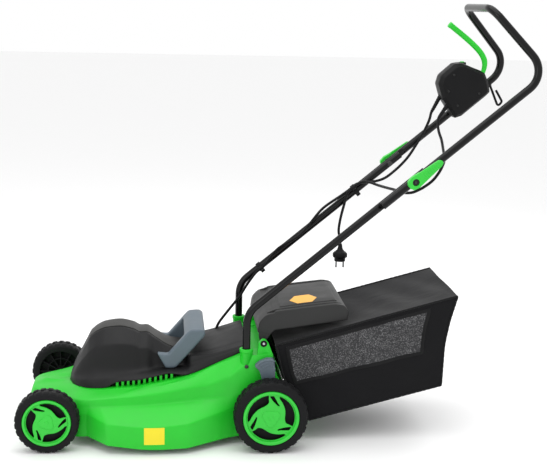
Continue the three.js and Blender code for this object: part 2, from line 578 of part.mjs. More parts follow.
function makeRunningGear() {
  for (const side of [LEFT, RIGHT]) {
    makeWheel('front', side, FRONT_WHEEL);
    makeWheel('rear', side, REAR_WHEEL);
  }
  add('front_axle', crank(FRONT_PIVOT, FRONT_WHEEL, 161, FRONT_LINK_Y), BLACKENED_STEEL);
  add('rear_axle', crank(REAR_PIVOT, REAR_WHEEL, 167.5, REAR_LINK_Y), BLACKENED_STEEL);

  const [frontZ, rearZ] = [FRONT_PIVOT.z + LINK_THROW, REAR_PIVOT.z + LINK_THROW];
  const rodPath = roundedPath([[REAR_PIVOT.x - 5, -REAR_LINK_Y, rearZ], [150, -REAR_LINK_Y, 91.5],
    [66, -FRONT_LINK_Y, 88], [FRONT_PIVOT.x + 5, -FRONT_LINK_Y, frontZ]], 18);
  const eyes = [[REAR_PIVOT.x, rearZ, REAR_LINK_Y], [FRONT_PIVOT.x, frontZ, FRONT_LINK_Y]];
  let link = solid(bar(rodPath, 2.8, 26, 6));
  for (const [x, z, y] of eyes) link = join(link, rodY(6.4, -y - 3, -y + 3, x, z));
  for (const [x, z, y] of eyes) link = cut(link, rodY(3.3, -y - 5, -y + 5, x, z, 12));
  add('height_link_rod', link, BLACKENED_STEEL);

  const armOutline = [[REAR_PIVOT.x - 10, REAR_PIVOT.z - 8], [REAR_PIVOT.x + 10, REAR_PIVOT.z - 6],
    [REAR_PIVOT.x + 8, REAR_PIVOT.z + 14], [541, 168], [540, 192], [508, 192], [507, 168]];
  add('height_lever', plateY(armOutline, -181, -175.2), BLACK_PLASTIC);
  const gripOutline = [[508, 168], [539, 168], [540, 192], [536, 222], [518, 221], [502, 214], [489, 203],
    [502, 190]];
  const grip = cut(plateY(gripOutline, -186.5, -169), plateY(armOutline.map(([x, z]) => [
    x + Math.sign(x - 524) * GAP, z + (z > 180 ? GAP : -GAP)]), -181.4, -174.8));
  add('height_lever_grip', grip, GREY_PLASTIC);
}

// ---- handle

function makeHandle() {
  const end = OVERLAP.above;
  const lowerPath = (y) => roundedPath([[SOCKET.x, y, SOCKET.floor + 2], [SOCKET.x, y, KNEE_Z],
    onHandle(end, 0, y)], 62);
  const [innerFlat, outerFlat] = [LOWER_TUBE_Y + 5.5, LEG_Y - 5.5];
  for (const side of [LEFT, RIGHT]) {
    let tube = solid(bar(lowerPath(side * LOWER_TUBE_Y), TUBE_R, 22, 10));
    tube = cut(tube,
      boxOnHandle(-OVERLAP.below - 8, 80, ...span(side, innerFlat, innerFlat + 20), -20, 20),
      rodY(4.2, ...span(side, 120, 200), FOLD.x, FOLD.z, 16),
      rodY(2.6, ...span(side, 120, 180), SOCKET.x, 196, 12));
    add(`${sideName(side)}_lower_tube`, tube, BLACK_TUBE);
    const screw = join(rodY(2.2, ...span(side, 140, 167), SOCKET.x, 196, 12),
      rodY(4.5, ...span(side, 165.4, 168), SOCKET.x, 196, 12));
    add(`${sideName(side)}_tube_screw`, screw, BLACKENED_STEEL);
  }

  const corners = [
    onHandle(-OVERLAP.below, 0, -LEG_Y), [ELBOW.x, -LEG_Y, ELBOW.z], [CROSSBAR.x, -CROSSBAR.y, CROSSBAR.z],
    [CROSSBAR.x, CROSSBAR.y, CROSSBAR.z], [ELBOW.x, LEG_Y, ELBOW.z], onHandle(-OVERLAP.below, 0, LEG_Y),
  ];
  let upper = solid(bar(roundedPath(corners, [ELBOW.bend, CROSSBAR.bend, CROSSBAR.bend, ELBOW.bend]),
    TUBE_R, 66, 10));
  for (const side of [LEFT, RIGHT]) {
    upper = cut(upper,
      boxOnHandle(-140, end + 8, ...span(side, outerFlat - 20, outerFlat), -20, 20),
      rodY(4.2, ...span(side, 120, 200), FOLD.x, FOLD.z, 16));
  }
  add('upper_handle', upper, BLACK_TUBE);
}

function makeFoldLocks() {
  const outerFace = LEG_Y + TUBE_R;
  for (const side of [LEFT, RIGHT]) {
    const innerFace = LOWER_TUBE_Y - TUBE_R;
    const bolt = join(rodY(3.8, ...span(side, innerFace - 1, outerFace + 12), FOLD.x, FOLD.z, 16),
      rodY(7, ...span(side, innerFace - 5, innerFace - GAP), FOLD.x, FOLD.z, 6));
    add(`${sideName(side)}_fold_bolt`, bolt, STEEL);
    const outline = [[-19, 4], [-14, 13], [0, 16], [20, 13], [74, 8], [80, 2], [78, -5], [70, -8],
      [20, -13], [0, -15], [-14, -12], [-19, -4]];
    let lever = plateOnHandle(outline, ...span(side, outerFace + 1, outerFace + 15));
    lever = cut(lever, boxOnHandle(24, 90, ...span(side, outerFace - 2, outerFace + 6), -30, 30),
      rodY(8.5, ...span(side, outerFace - 2, outerFace + 20), FOLD.x, FOLD.z, 20));
    add(`${sideName(side)}_cam_lever`, lever, GREEN_PLASTIC);
  }
}

// ---- switch box

const BOX_OUTLINE = [[1010, 912], [1028, 915], [1056, 904], [1090, 892], [1100, 871], [1107, 842],
  [1096, 831], [1035, 779], [1018, 773], [1012, 779], [982, 823], [970, 860], [976, 882]];
const BOX_CENTRE = [1042, 845];
const BOX_Y = { inner: 92, split: 121, outer: 149.5 };
const LEVER_PIVOT = { x: 1078, z: 876 };
const LEVER_Y = 106;
const MOTOR_GLAND = { from: [984, 128, 829], to: [966.3, 128, 793.6] };
const MAINS_GLAND = { from: [997, 106, 804.9], to: [979.3, 106, 777] };

const shrunk = (outline, factor) => outline.map(([x, z]) => [
  BOX_CENTRE[0] + (x - BOX_CENTRE[0]) * factor, BOX_CENTRE[1] + (z - BOX_CENTRE[1]) * factor]);

function makeSwitchBox() {
  const leverSlot = plateY([[1062, 866], [1098, 862], [1116, 900], [1104, 925], [1062, 925]], LEVER_Y - 8,
    LEVER_Y + 8);
  const buttonBore = rodZ(7.6, 880, 940, 1036, 128, 16);
  const glandBores = [MOTOR_GLAND, MAINS_GLAND].map(({ from, to }) => rodFrom(from, to, 5.6, 5.6, 12, 14));
  const cover = cut(join(plateY(BOX_OUTLINE, BOX_Y.inner + 7, BOX_Y.split - GAP / 2),
    plateY(shrunk(BOX_OUTLINE, 0.86), BOX_Y.inner, BOX_Y.inner + 7.5)),
  plateY(shrunk(BOX_OUTLINE, 0.9), BOX_Y.inner + 10, BOX_Y.split + 5), leverSlot, buttonBore, ...glandBores);
  add('switch_cover', cover, BLACK_PLASTIC);
  const base = cut(plateY(BOX_OUTLINE, BOX_Y.split + GAP / 2, BOX_Y.outer),
    plateY(shrunk(BOX_OUTLINE, 0.9), BOX_Y.split - 5, BOX_Y.outer - 4), buttonBore, ...glandBores);
  add('switch_base', base, BLACK_PLASTIC);
  const module = box(1010, 1052, BOX_Y.split + 2, BOX_Y.outer - 5, 812, 858);
  add('switch_module', module, BLACKENED_STEEL);

  const bail = new THREE.CubicBezierCurve3(
    new THREE.Vector3(LEVER_PIVOT.x + 6, LEVER_Y, LEVER_PIVOT.z + 8), new THREE.Vector3(1098, LEVER_Y, 926),
    new THREE.Vector3(1092, LEVER_Y, 938), new THREE.Vector3(993, LEVER_Y, 1010));
  const lever = join(solid(bar(bail, 7.2, 12, 8)), rodY(11, LEVER_Y - 7, LEVER_Y + 7, LEVER_PIVOT.x,
    LEVER_PIVOT.z));
  add('switch_lever', lever, GREEN_PLASTIC);
  const button = join(rodZ(6.8, 893, 917, 1036, 128, 16), rodZ(9.5, 889, 893.2, 1036, 128, 16));
  add('safety_button', button, BLACK_PLASTIC);
}

// Cylinder or cone between two points, lengthened at its start by `extra`.
function rodFrom(from, to, radius, endRadius = radius, sides = 12, extra = 0) {
  const [a, b] = [new THREE.Vector3(...from), new THREE.Vector3(...to)];
  a.addScaledVector(b.clone().sub(a).normalize(), -extra);
  const along = b.clone().sub(a);
  const geometry = new THREE.CylinderGeometry(endRadius, radius, along.length(), sides);
  geometry.applyQuaternion(new THREE.Quaternion().setFromUnitVectors(new THREE.Vector3(0, 1, 0),
    along.clone().normalize()));
  return solid(geometry.translate(...a.add(b).multiplyScalar(0.5).toArray()));
}

// ---- cables

const CLIP_HIGH = -114;               // places of the two cable clips along the right lower tube
const CLIP_LOW = -436;

// Motor cable: down the right-hand tube, past the fold bolt on its lower side, and into the hood.
const MOTOR_CABLE_TOP = [[965.7, 128, 792.4], [962, 128.6, 785], onHandle(150, 26, 136),
  onHandle(120, 8, 144), onHandle(85, -6, 145), onHandle(50, -16, 138), onHandle(25, -20, 135),
  onHandle(0.2, -22, 134.6)];
const MOTOR_CABLE_FOOT = [onHandle(-0.2, -22, 134.6), onHandle(-34, -21, 134.6),
  onHandle(-60, -11, 134.4), onHandle(-82, 4, 134.6), onHandle(CLIP_HIGH + 12, 13.5, 137),
  onHandle(CLIP_HIGH - 12, 13.5, 137), onHandle(-150, 14.5, 138), onHandle(-211, 18.5, 138),
  onHandle(-257, 10, 135.4), onHandle(-300, 2, 134.8), onHandle(-370, 10, 135.4),
  onHandle(CLIP_LOW + 12, -2, 134.8), onHandle(CLIP_LOW - 12, -2, 134.8), [494, 134.6, 328],
  [472, 134.2, 292], [449, 128, 264], [430, 114, 244], [418, 100, 232]];

// Mains lead: down from the switch box, past the left fold bolt, back to the upper clip, down to its plug.
const MAINS_TOP = [[978.4, 106, 775.6], [975, 104.5, 769.5], [973, 96, 756], [972, 76, 740],
  [972, 45, 724], [966, 0, 708], [957, -50, 698], [947, -95, 691], [938, -122, 683], [928, -132, 668],
  [912, -134.5, 647], [890, -134.5, 630], [880.6, -133.5, 624.6]];
const MAINS_FOOT = [[879.4, -133.3, 623.9], [866, -129, 617], [850, -106, 612], [839, -52, 610],
  [828, 8, 606], [816, 60, 604], [802, 98, 605], [789, 118, 603], onHandle(CLIP_HIGH + 13, 13.5, 127.6),
  onHandle(CLIP_HIGH - 11, 13.5, 128), onHandle(CLIP_HIGH - 22, 11, 128), [743, 128, 545],
  [733, 128, 500], [730, 128, 470], [733.5, 128, 452], [735.4, 128, 443], [735.5, 128, 436.8]];
const PLUG = { x: 735.5, y: 128, top: 436.0 };

function makeCables() {
  add('motor_cable_gland', rodFrom(MOTOR_GLAND.from, MOTOR_GLAND.to, 5, 4.4), BLACK_PLASTIC);
  add('mains_cable_gland', rodFrom(MAINS_GLAND.from, MAINS_GLAND.to, 5, 4.4), BLACK_PLASTIC);
  add('motor_cable_upper', cable(MOTOR_CABLE_TOP, 20), RUBBER);
  add('motor_cable_lower', cable(MOTOR_CABLE_FOOT, 44), RUBBER);
  add('mains_cable_upper', cable(MAINS_TOP, 32), RUBBER);
  add('mains_cable_lower', cable(MAINS_FOOT, 42), RUBBER);

  const clip = (s, holes) => {
    let shape = ringOnHandle(s, 12, LOWER_TUBE_Y, 0, TUBE_R + 0.4, TUBE_R + 3.4);
    for (const [n, y] of holes) shape = join(shape, ringOnHandle(s, 12, y, n, CABLE_R + 0.3, CABLE_R + 3.1));
    for (const [n, y] of holes) shape = cut(shape, ringOnHandle(s, 14, y, n, 0.01, CABLE_R + 0.8));
    return cut(shape, ringOnHandle(s, 14, LOWER_TUBE_Y, 0, 0.01, TUBE_R + 0.4));
  };
  add('cable_clip_upper', clip(CLIP_HIGH, [[13.5, 137], [13.5, 128]]), BLACK_PLASTIC);
  add('cable_clip_lower', clip(CLIP_LOW, [[-2, 134.8]]), BLACK_PLASTIC);

  const plug = join(
    turnedZ([[0, -22], [14, -22], [9, -18], [5, 0], [0, 0]], 20),
    box(-18.5, 18.5, -13.5, 13.5, -34, -21.5),
    box(-16, 16, -12, 12, -46, -33.5),
    rodZ(2.4, -64, -45, -9.5, 0, 12), rodZ(2.4, -64, -45, 9.5, 0, 12));
  add('mains_plug', plug.translate([PLUG.x, PLUG.y, PLUG.top]), BLACK_PLASTIC);

  // Hook that takes the pull of an extension lead, clamped to the right leg of the handle.
  const hookPath = roundedPath([[1123, LEG_Y, 853], [1147, LEG_Y, 799], [1157, LEG_Y, 813],
    [1139, LEG_Y, 842]], 5);
  const hook = join(ringOnHandle(329, 12, LEG_Y, 0, TUBE_R + 0.4, TUBE_R + 3),
    solid(bar(hookPath, 2.4, 20, 6)));
  add('cable_hook', cut(hook, ringOnHandle(329, 30, LEG_Y, 0, 0.01, TUBE_R + 0.4)), BLACK_PLASTIC);
}

// ---- flap and bag

function makeFlap() {
  const outline = [[500, 270], [504, 296], [520, 314], [545, 323], [620, 333], [690, 341], [712, 337],
    [722, 322], [720, 300], [542, 275], [530, 262]];
  const hollow = [[500, 240], [504, 272], [509, 294], [523, 309.5], [546, 319], [620, 329], [690, 337],
    [710, 333], [717.5, 321], [716, 290], [542, 265], [530, 240]];
  let flap = cut(plateY(outline, -FLAP_HALF, FLAP_HALF), plateY(hollow, -FLAP_HALF + 4, FLAP_HALF - 4));
  const lug = [[503, 276], [505, 250], [508, 244.5], [513, 242.5], [518, 244.5], [521, 250], [531, 264],
    [531, 280]];
  for (const side of [LEFT, RIGHT]) flap = join(flap, plateY(lug, ...span(side, 108, FLAP_HALF)));
  add('rear_flap', cut(flap, rodY(3.5, -200, 200, HINGE.x, HINGE.z, 16)), FLAP_PLASTIC);
  add('flap_pin', rodY(3, -161, 161, HINGE.x, HINGE.z, 16), STEEL);

  const turns = 3;
  const coil = [];
  for (let i = 0; i <= turns * 8; i++) {
    const angle = 2 * Math.PI * i / 8;
    coil.push([HINGE.x + 5 * Math.cos(angle), -9 + 18 * i / (turns * 8), HINGE.z + 5 * Math.sin(angle)]);
  }
  coil.unshift([HINGE.x + 5, -9.3, HINGE.z - 9]);
  coil.push([HINGE.x + 5, 9.3, HINGE.z + 12]);
  const wire = new THREE.CatmullRomCurve3(coil.map((p) => new THREE.Vector3(...p)), false, 'centripetal');
  add('flap_spring', bar(wire, 0.8, 34, 5), STEEL);
}

function makeBag() {
  const outline = [[541, 243], [985, 367], [966, 304], [956, 243], [955, 139], [629, 52], [562, 160]];
  const hollow = [[546, 240.6], [980, 361.8], [962, 304], [952.4, 243], [951.4, 141.7], [631, 56.6],
    [566, 161]];
  const mouth = [[520, 234], [560, 240], [640, 70], [600, 60]];
  const bag = cut(plateY(outline, -BAG_HALF, BAG_HALF),
    plateY(hollow, -BAG_HALF + BAG_CLOTH, BAG_HALF - BAG_CLOTH), plateY(mouth, -126, 126));
  add('grass_bag', bag, FABRIC);
  const y = BAG_HALF - BAG_CLOTH - 4;
  const frame = roundedPath([[641, 3, 64], [641, y, 64], [575, y, 166], [556, y, 236], [556, -y, 236],
    [575, -y, 166], [641, -y, 64], [641, -3, 64]], 10);
  add('bag_frame', bar(frame, 2.5, 48, 6), BLACKENED_STEEL);
}

makeDeck();
makeHood();
makeCarryHandle();
makeDrive();
makeRunningGear();
makeHandle();
makeFoldLocks();
makeSwitchBox();
makeCables();
makeFlap();
makeBag();

// Origin: middle of the footprint, on the ground, measured without the mains lead and its plug.
const CORD = ['mains_cable_upper', 'mains_cable_lower', 'mains_plug'];
const bounds = new THREE.Box3();
for (const mesh of mower.children) if (!CORD.includes(mesh.name)) bounds.expandByObject(mesh);
mower.position.set(-(bounds.min.x + bounds.max.x) / 2, -(bounds.min.y + bounds.max.y) / 2, -bounds.min.z);

export default mower;
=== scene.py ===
"""A walk-behind electric lawn mower with a folding handle and a fabric grass bag, dressed for display.

The moving and load-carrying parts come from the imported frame. This script dresses them, and models the
shells, wheels, tubes, cables and cloth around them in finer detail.
"""

from __future__ import annotations

import logging
import math
from collections.abc import Callable, Iterable, Sequence
from dataclasses import dataclass, field
from enum import Enum

import bpy
import numpy as np
from mathutils import Matrix, Vector

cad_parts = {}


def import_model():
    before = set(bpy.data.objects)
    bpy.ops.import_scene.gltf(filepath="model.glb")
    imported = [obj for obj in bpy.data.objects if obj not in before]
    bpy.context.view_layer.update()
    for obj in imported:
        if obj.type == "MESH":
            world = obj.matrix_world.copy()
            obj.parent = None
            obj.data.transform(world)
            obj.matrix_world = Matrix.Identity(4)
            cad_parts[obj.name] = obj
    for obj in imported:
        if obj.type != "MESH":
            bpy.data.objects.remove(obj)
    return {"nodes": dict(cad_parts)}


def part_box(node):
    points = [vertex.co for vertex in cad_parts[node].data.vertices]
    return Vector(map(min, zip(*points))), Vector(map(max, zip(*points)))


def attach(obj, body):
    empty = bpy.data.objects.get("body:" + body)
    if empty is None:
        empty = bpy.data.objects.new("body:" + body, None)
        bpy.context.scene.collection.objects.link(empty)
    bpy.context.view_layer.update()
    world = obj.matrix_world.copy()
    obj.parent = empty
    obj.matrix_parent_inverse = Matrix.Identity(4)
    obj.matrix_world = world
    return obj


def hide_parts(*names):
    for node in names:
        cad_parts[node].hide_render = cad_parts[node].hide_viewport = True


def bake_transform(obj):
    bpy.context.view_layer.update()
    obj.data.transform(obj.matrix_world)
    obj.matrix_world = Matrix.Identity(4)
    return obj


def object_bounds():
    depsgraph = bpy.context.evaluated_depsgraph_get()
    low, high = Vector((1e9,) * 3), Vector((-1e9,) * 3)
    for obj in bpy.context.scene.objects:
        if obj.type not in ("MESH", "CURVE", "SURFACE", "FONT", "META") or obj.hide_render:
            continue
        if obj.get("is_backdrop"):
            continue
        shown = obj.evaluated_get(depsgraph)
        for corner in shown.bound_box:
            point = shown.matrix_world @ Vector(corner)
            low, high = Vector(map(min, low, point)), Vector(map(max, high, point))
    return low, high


LOG = logging.getLogger("mower")
MM = 0.001
Point = tuple[float, float, float]
Flat = tuple[float, float]
Piece = bpy.types.Object
Amount = float | Vector | np.ndarray
UP = Vector((0, 0, 1))
ACROSS = Vector((0, 1, 0))


class Side(Enum):
    """Which side of the mower a piece is on, seen by the person who pushes it."""

    LEFT = -1
    RIGHT = 1

    @property
    def word(self) -> str:
        """The side's name as it stands in a piece's name."""
        return self.name.lower()

    @property
    def out(self) -> Vector:
        """The direction away from the mower's middle."""
        return Vector((0, self.value, 0))

    def span(self, near: float, far: float) -> Flat:
        """The y of two distances from the middle, the lower one first."""
        return tuple(sorted((self.value * near, self.value * far)))


class Body(Enum):
    """The rigid bodies of the frame on which pieces ride."""

    DECK = "deck"
    UPPER_HANDLE = "upper_handle"
    REAR_CRANK = "rear_crank"
    FRONT_CRANK = "front_crank"
    LINK_ROD = "link_rod"
    FLAP = "flap"
    BAG = "bag"
    SWITCH_LEVER = "switch_lever"
    SAFETY_BUTTON = "safety_button"
    LEFT_CAM = "left_cam"
    RIGHT_CAM = "right_cam"
    BLADE = "blade_spindle"
    MOTOR = "motor_rotor"


# ---------------------------------------------------------------- places


@dataclass(frozen=True)
class Datum:
    """Turns working millimetres, from the ground under the front wheels' centres, into the frame's metres."""

    shift: float

    @classmethod
    def from_frame(cls) -> Datum:
        """The datum of the loaded frame, found from its front wheel."""
        low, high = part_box("front_left_wheel")
        return cls((low.x + high.x) / 2)

    def at(self, x: float, y: float, z: float) -> Vector:
        """A place in the frame."""
        return Vector((x * MM + self.shift, y * MM, z * MM))

    def line(self, points: Iterable[Point]) -> list[Vector]:
        """Several places in the frame."""
        return [self.at(*point) for point in points]


@dataclass(frozen=True)
class HandlePlan:
    """Driving sizes of the folding handle, in millimetres."""

    tube: float = 9.5
    lower_y: float = 149.0
    leg_y: float = 160.6
    socket_x: float = 472.0
    socket_floor: float = 178.0
    knee_z: float = 325.0
    knee_bend: float = 62.0
    slope: float = math.radians(39.8)
    fold_x: float = 861.0
    below: float = 95.0
    above: float = 36.0
    elbow_x: float = 1169.0
    elbow_bend: float = 54.0
    crossbar: Point = (1036.0, 122.0, 1053.0)
    crossbar_bend: float = 38.0

    def height(self, x: float) -> float:
        """Height of the slanting tube's middle at x."""
        return self.knee_z + (x - self.socket_x) * math.tan(self.slope)

    def along(self, s: float, n: float, y: float) -> Point:
        """A place near the handle."""
        cos, sin = math.cos(self.slope), math.sin(self.slope)
        return (self.fold_x + s * cos - n * sin, y, self.height(self.fold_x) + s * sin + n * cos)

    def back(self, point: Sequence[float]) -> Flat:
        """The (s, n) place of a working point."""
        cos, sin = math.cos(self.slope), math.sin(self.slope)
        dx, dz = point[0] - self.fold_x, point[2] - self.height(self.fold_x)
        return (dx * cos + dz * sin, -dx * sin + dz * cos)


def rounded(points: Sequence[Point], bends: Sequence[float], steps: int = 10) -> list[Point]:
    """Straight runs with every inner corner turned into an arc.

    Args:
        points: The corners, the two ends included.
        bends: Radius of the arc at each inner corner.
        steps: Short runs that make each arc.

    Returns:
        The points of the rounded line.
    """
    corners = [Vector(p) for p in points]
    line = [tuple(corners[0])]
    for corner, before, after, radius in zip(corners[1:-1], corners, corners[2:], bends):
        to_before, to_after = (before - corner).normalized(), (after - corner).normalized()
        half = to_before.angle(to_after) / 2
        if half > math.radians(89.5):
            line.append(tuple(corner))
            continue
        reach = min(radius / math.tan(half), 0.49 * (before - corner).length, 0.49 * (after - corner).length)
        middle = corner + (to_before + to_after).normalized() * (reach / math.cos(half))
        enter, leave = corner + to_before * reach - middle, corner + to_after * reach - middle
        sweep = enter.angle(leave)
        for k in range(steps + 1):
            share = k / steps
            arm = (enter * math.sin((1 - share) * sweep) + leave * math.sin(share * sweep)) / math.sin(sweep)
            line.append(tuple(middle + arm))
    line.append(tuple(corners[-1]))
    return line


def between(a: Point, b: Point, share: float) -> Point:
    """The place at a share of the way from a to b."""
    return tuple(Vector(a).lerp(Vector(b), share))


def corners_cut(corners: Sequence[Flat], bends: Sequence[float], steps: int) -> list[Flat]:
    """A closed outline of (x, z) corners with all but the first turned into arcs of the bends' radii."""
    line = rounded([(x, 0, z) for x, z in (*corners, corners[0])], bends, steps)
    return [(x, z) for x, _, z in line][:-1]


def both_halves(half: Sequence[Sequence[Point]]) -> list[list[Point]]:
    """Rows of the right half, and before them their mirror images, which share the first row."""
    return [[(x, -y, z) for x, y, z in row] for row in reversed(half[1:])] + [list(row) for row in half]


def axes(right: Vector, up: Vector, out: Vector, place: Vector) -> Matrix:
    """A frame with these axes at a place."""
    return Matrix([*[(*row, at) for row, at in zip(zip(right, up, out), place)], (0, 0, 0, 1)])


def evenly(line: Sequence[Sequence[float]], step: float) -> list[Point]:
    """The same line with points at equal steps."""
    points = np.array(line, float)
    lengths = np.concatenate([[0.0], np.cumsum(np.linalg.norm(np.diff(points, axis=0), axis=1))])
    places = np.linspace(0.0, lengths[-1], max(2, round(lengths[-1] / step) + 1))
    return [tuple(row) for row in np.stack([np.interp(places, lengths, points[:, k]) for k in range(3)],
        axis=1)]


def smooth_line(points: Sequence[Point], step: float) -> list[Point]:
    """A smooth line through the points, with points at equal steps.

    Args:
        points: What the line passes through.
        step: Distance between the new points.

    Returns:
        The points of a centripetal spline.
    """
    given = [Vector(p) for p in points]
    given = [2 * given[0] - given[1], *given, 2 * given[-1] - given[-2]]
    line: list[Point] = []
    for a, b, c, d in zip(given, given[1:], given[2:], given[3:]):
        t1 = max((b - a).length ** 0.5, 1e-6)
        t2 = t1 + max((c - b).length ** 0.5, 1e-6)
        t3 = t2 + max((d - c).length ** 0.5, 1e-6)
        for k in range(12):
            t = t1 + (t2 - t1) * k / 12
            ab, bc, cd = a.lerp(b, t / t1), b.lerp(c, (t - t1) / (t2 - t1)), c.lerp(d, (t - t2) / (t3 - t2))
            left, right = ab.lerp(bc, t / t2), bc.lerp(cd, (t - t1) / (t3 - t1))
            line.append(tuple(left.lerp(right, (t - t1) / (t2 - t1))))
    line.append(tuple(given[-2]))
    return evenly(line, step)


def hermite(t: Amount, a: Amount, b: Amount, from_a: Amount, to_b: Amount) -> Amount:
    """The place at t on the curve that leaves a and reaches b along these two tangents."""
    return (a * (2 * t**3 - 3 * t**2 + 1) + from_a * (t**3 - 2 * t**2 + t) + b * (3 * t**2 - 2 * t**3)
        + to_b * (t**3 - t**2))


def flowing(keys: Sequence[Point], soft: Iterable[int], steps: int) -> list[Point]:
    """An outline through the key points that is smooth at the soft ones and has corners at the others.

    Args:
        keys: The key points.
        soft: Numbers of the keys at which the outline flows on.
        steps: Short runs between one key and the next.

    Returns:
        The points, steps for each stretch and one for the last key.
    """
    points, soft = [Vector(k) for k in keys], set(soft)
    last = len(points) - 1

    def slope(i: int, stretch: Vector) -> Vector:
        """The direction of the outline at a key, as long as the stretch beside it."""
        if i not in soft:
            return stretch
        if i == 0:
            return Vector((0, stretch.length, 0))
        if i == last:
            return stretch
        before, after = points[i] - points[i - 1], points[i + 1] - points[i]
        flow = before.normalized() * after.length + after.normalized() * before.length
        return flow.normalized() * stretch.length

    line = []
    for i in range(last):
        a, b, stretch = points[i], points[i + 1], points[i + 1] - points[i]
        from_a, to_b = slope(i, stretch), slope(i + 1, stretch)
        line += [tuple(hermite(k / steps, a, b, from_a, to_b)) for k in range(steps)]
    line.append(tuple(points[-1]))
    return line


# ---------------------------------------------------------------- modelling


class Bench:
    """The modelling steps that every sub-assembly shares."""

    datum: Datum = Datum(0.0)
    nodes: dict[str, Piece] = {}

    @staticmethod
    def only(piece: Piece) -> None:
        """Selects one piece and makes it the active one."""
        bpy.ops.object.select_all(action="DESELECT")
        piece.select_set(True)
        bpy.context.view_layer.objects.active = piece

    @classmethod
    def edit(cls, piece: Piece, *steps: Callable[[], object]) -> Piece:
        """Runs steps in edit mode with all of the piece selected.

        Args:
            piece: The piece to edit.
            steps: Operators, called in order.

        Returns:
            The piece.
        """
        cls.only(piece)
        bpy.ops.object.mode_set(mode="EDIT")
        bpy.ops.mesh.select_all(action="SELECT")
        for step in steps:
            step()
        bpy.ops.object.mode_set(mode="OBJECT")
        return piece

    @classmethod
    def tidy(cls, piece: Piece, reach: float = 1e-6) -> Piece:
        """Merges the points that lie within a reach in metres, and turns the faces outwards."""
        return cls.edit(piece, lambda: bpy.ops.mesh.remove_doubles(threshold=reach),
            lambda: bpy.ops.mesh.normals_make_consistent(inside=False))

    @classmethod
    def modify(cls, piece: Piece, kind: str, **settings: object) -> Piece:
        """Adds a modifier with these settings and applies it."""
        cls.only(piece)
        modifier = piece.modifiers.new(kind.lower(), kind)
        for key, value in settings.items():
            setattr(modifier, key, value)
        bpy.ops.object.modifier_apply(modifier=modifier.name)
        return piece

    @classmethod
    def thicken(cls, piece: Piece, wall: float, offset: float = 0.0) -> Piece:
        """Gives a sheet a wall in millimetres, about its middle or, with an offset of -1, inwards."""
        return cls.modify(piece, "SOLIDIFY", thickness=wall * MM, offset=offset)

    @classmethod
    def bevel(cls, piece: Piece, width: float, segments: int = 2, angle: float = 28.0) -> Piece:
        """Rounds the edges that turn by more than an angle, width in millimetres and angle in degrees."""
        return cls.modify(piece, "BEVEL", width=width * MM, segments=segments, limit_method="ANGLE",
            angle_limit=math.radians(angle), harden_normals=False, use_clamp_overlap=True,
            miter_outer="MITER_ARC")

    @classmethod
    def melt(cls, piece: Piece, voxel: float, rounds: int, keep: float) -> Piece:
        """Fuses a piece's overlapping bodies into one with softly rounded edges.

        Args:
            piece: The piece, closed.
            voxel: Grain of the new skin in millimetres.
            rounds: Smoothing rounds; each eases the edges a little more.
            keep: Share of the faces left at the end.

        Returns:
            The piece.
        """
        cls.modify(piece, "REMESH", mode="VOXEL", voxel_size=voxel * MM, use_smooth_shade=True)
        cls.modify(piece, "SMOOTH", factor=0.5, iterations=rounds)
        return cls.modify(piece, "DECIMATE", ratio=keep)

    @classmethod
    def smooth(cls, piece: Piece, angle: float = 40.0) -> Piece:
        """Shades the piece smooth except across edges sharper than an angle in degrees."""
        cls.only(piece)
        bpy.ops.object.shade_smooth_by_angle(angle=math.radians(angle))
        return piece

    @classmethod
    def surface(cls, rows: Sequence[Sequence[Point]], around: bool = False) -> Piece:
        """A surface through rows of working points, as a primitive grid that is drawn out to them.

        Args:
            rows: Rows of points, all as long.
            around: Whether each row closes on itself.

        Returns:
            The new piece.
        """
        rows = [[*row, row[0]] if around else list(row) for row in rows]
        across, down = len(rows[0]), len(rows)
        bpy.ops.object.select_all(action="DESELECT")
        bpy.ops.mesh.primitive_grid_add(x_subdivisions=across - 1, y_subdivisions=down - 1, size=1.0)
        piece = bpy.context.active_object
        places = [cls.datum.at(*point) for row in rows for point in row]
        piece.data.vertices.foreach_set("co", np.array(places, np.float32).ravel())
        piece.data.update()
        return cls.tidy(piece)

    @classmethod
    def closed(cls, rows: Sequence[Sequence[Point]]) -> Piece:
        """A closed body through rings of working points, with its two ends filled."""
        piece = cls.surface(rows, around=True)

        def fill() -> None:
            """Fills the open ends and turns the faces outwards."""
            bpy.ops.mesh.select_all(action="DESELECT")
            bpy.ops.mesh.select_mode(type="EDGE")
            bpy.ops.mesh.select_non_manifold(extend=False, use_wire=False, use_boundary=True,
                use_multi_face=False, use_non_contiguous=False, use_verts=False)
            bpy.ops.mesh.edge_face_add()
            bpy.ops.mesh.select_mode(type="VERT")
            bpy.ops.mesh.select_all(action="SELECT")
            bpy.ops.mesh.normals_make_consistent(inside=False)

        return cls.edit(piece, fill)

    @classmethod
    def plate(cls, outline: Sequence[Flat], y0: float, y1: float, bevel: float = 0.0,
            segments: int = 2) -> Piece:
        """An upright plate across the mower, cut to an outline of (x, z) points."""
        return cls.slab([(x, y0, z) for x, z in outline], (0.0, y1 - y0, 0.0), bevel, segments)

    @classmethod
    def slab(cls, outline: Sequence[Point], push: Point, bevel: float = 0.0, segments: int = 2) -> Piece:
        """A disc drawn out to a flat outline of working points and extruded by a push in millimetres."""
        bpy.ops.object.select_all(action="DESELECT")
        bpy.ops.mesh.primitive_circle_add(vertices=len(outline), fill_type="NGON")
        piece = bpy.context.active_object
        places = np.array([cls.datum.at(*point) for point in outline], np.float32)
        piece.data.vertices.foreach_set("co", places.ravel())
        piece.data.update()
        value = tuple(MM * p for p in push)
        cls.edit(piece, lambda: bpy.ops.mesh.extrude_region_move(TRANSFORM_OT_translate={"value": value}))
        cls.tidy(piece)
        return cls.bevel(piece, bevel, segments) if bevel else piece

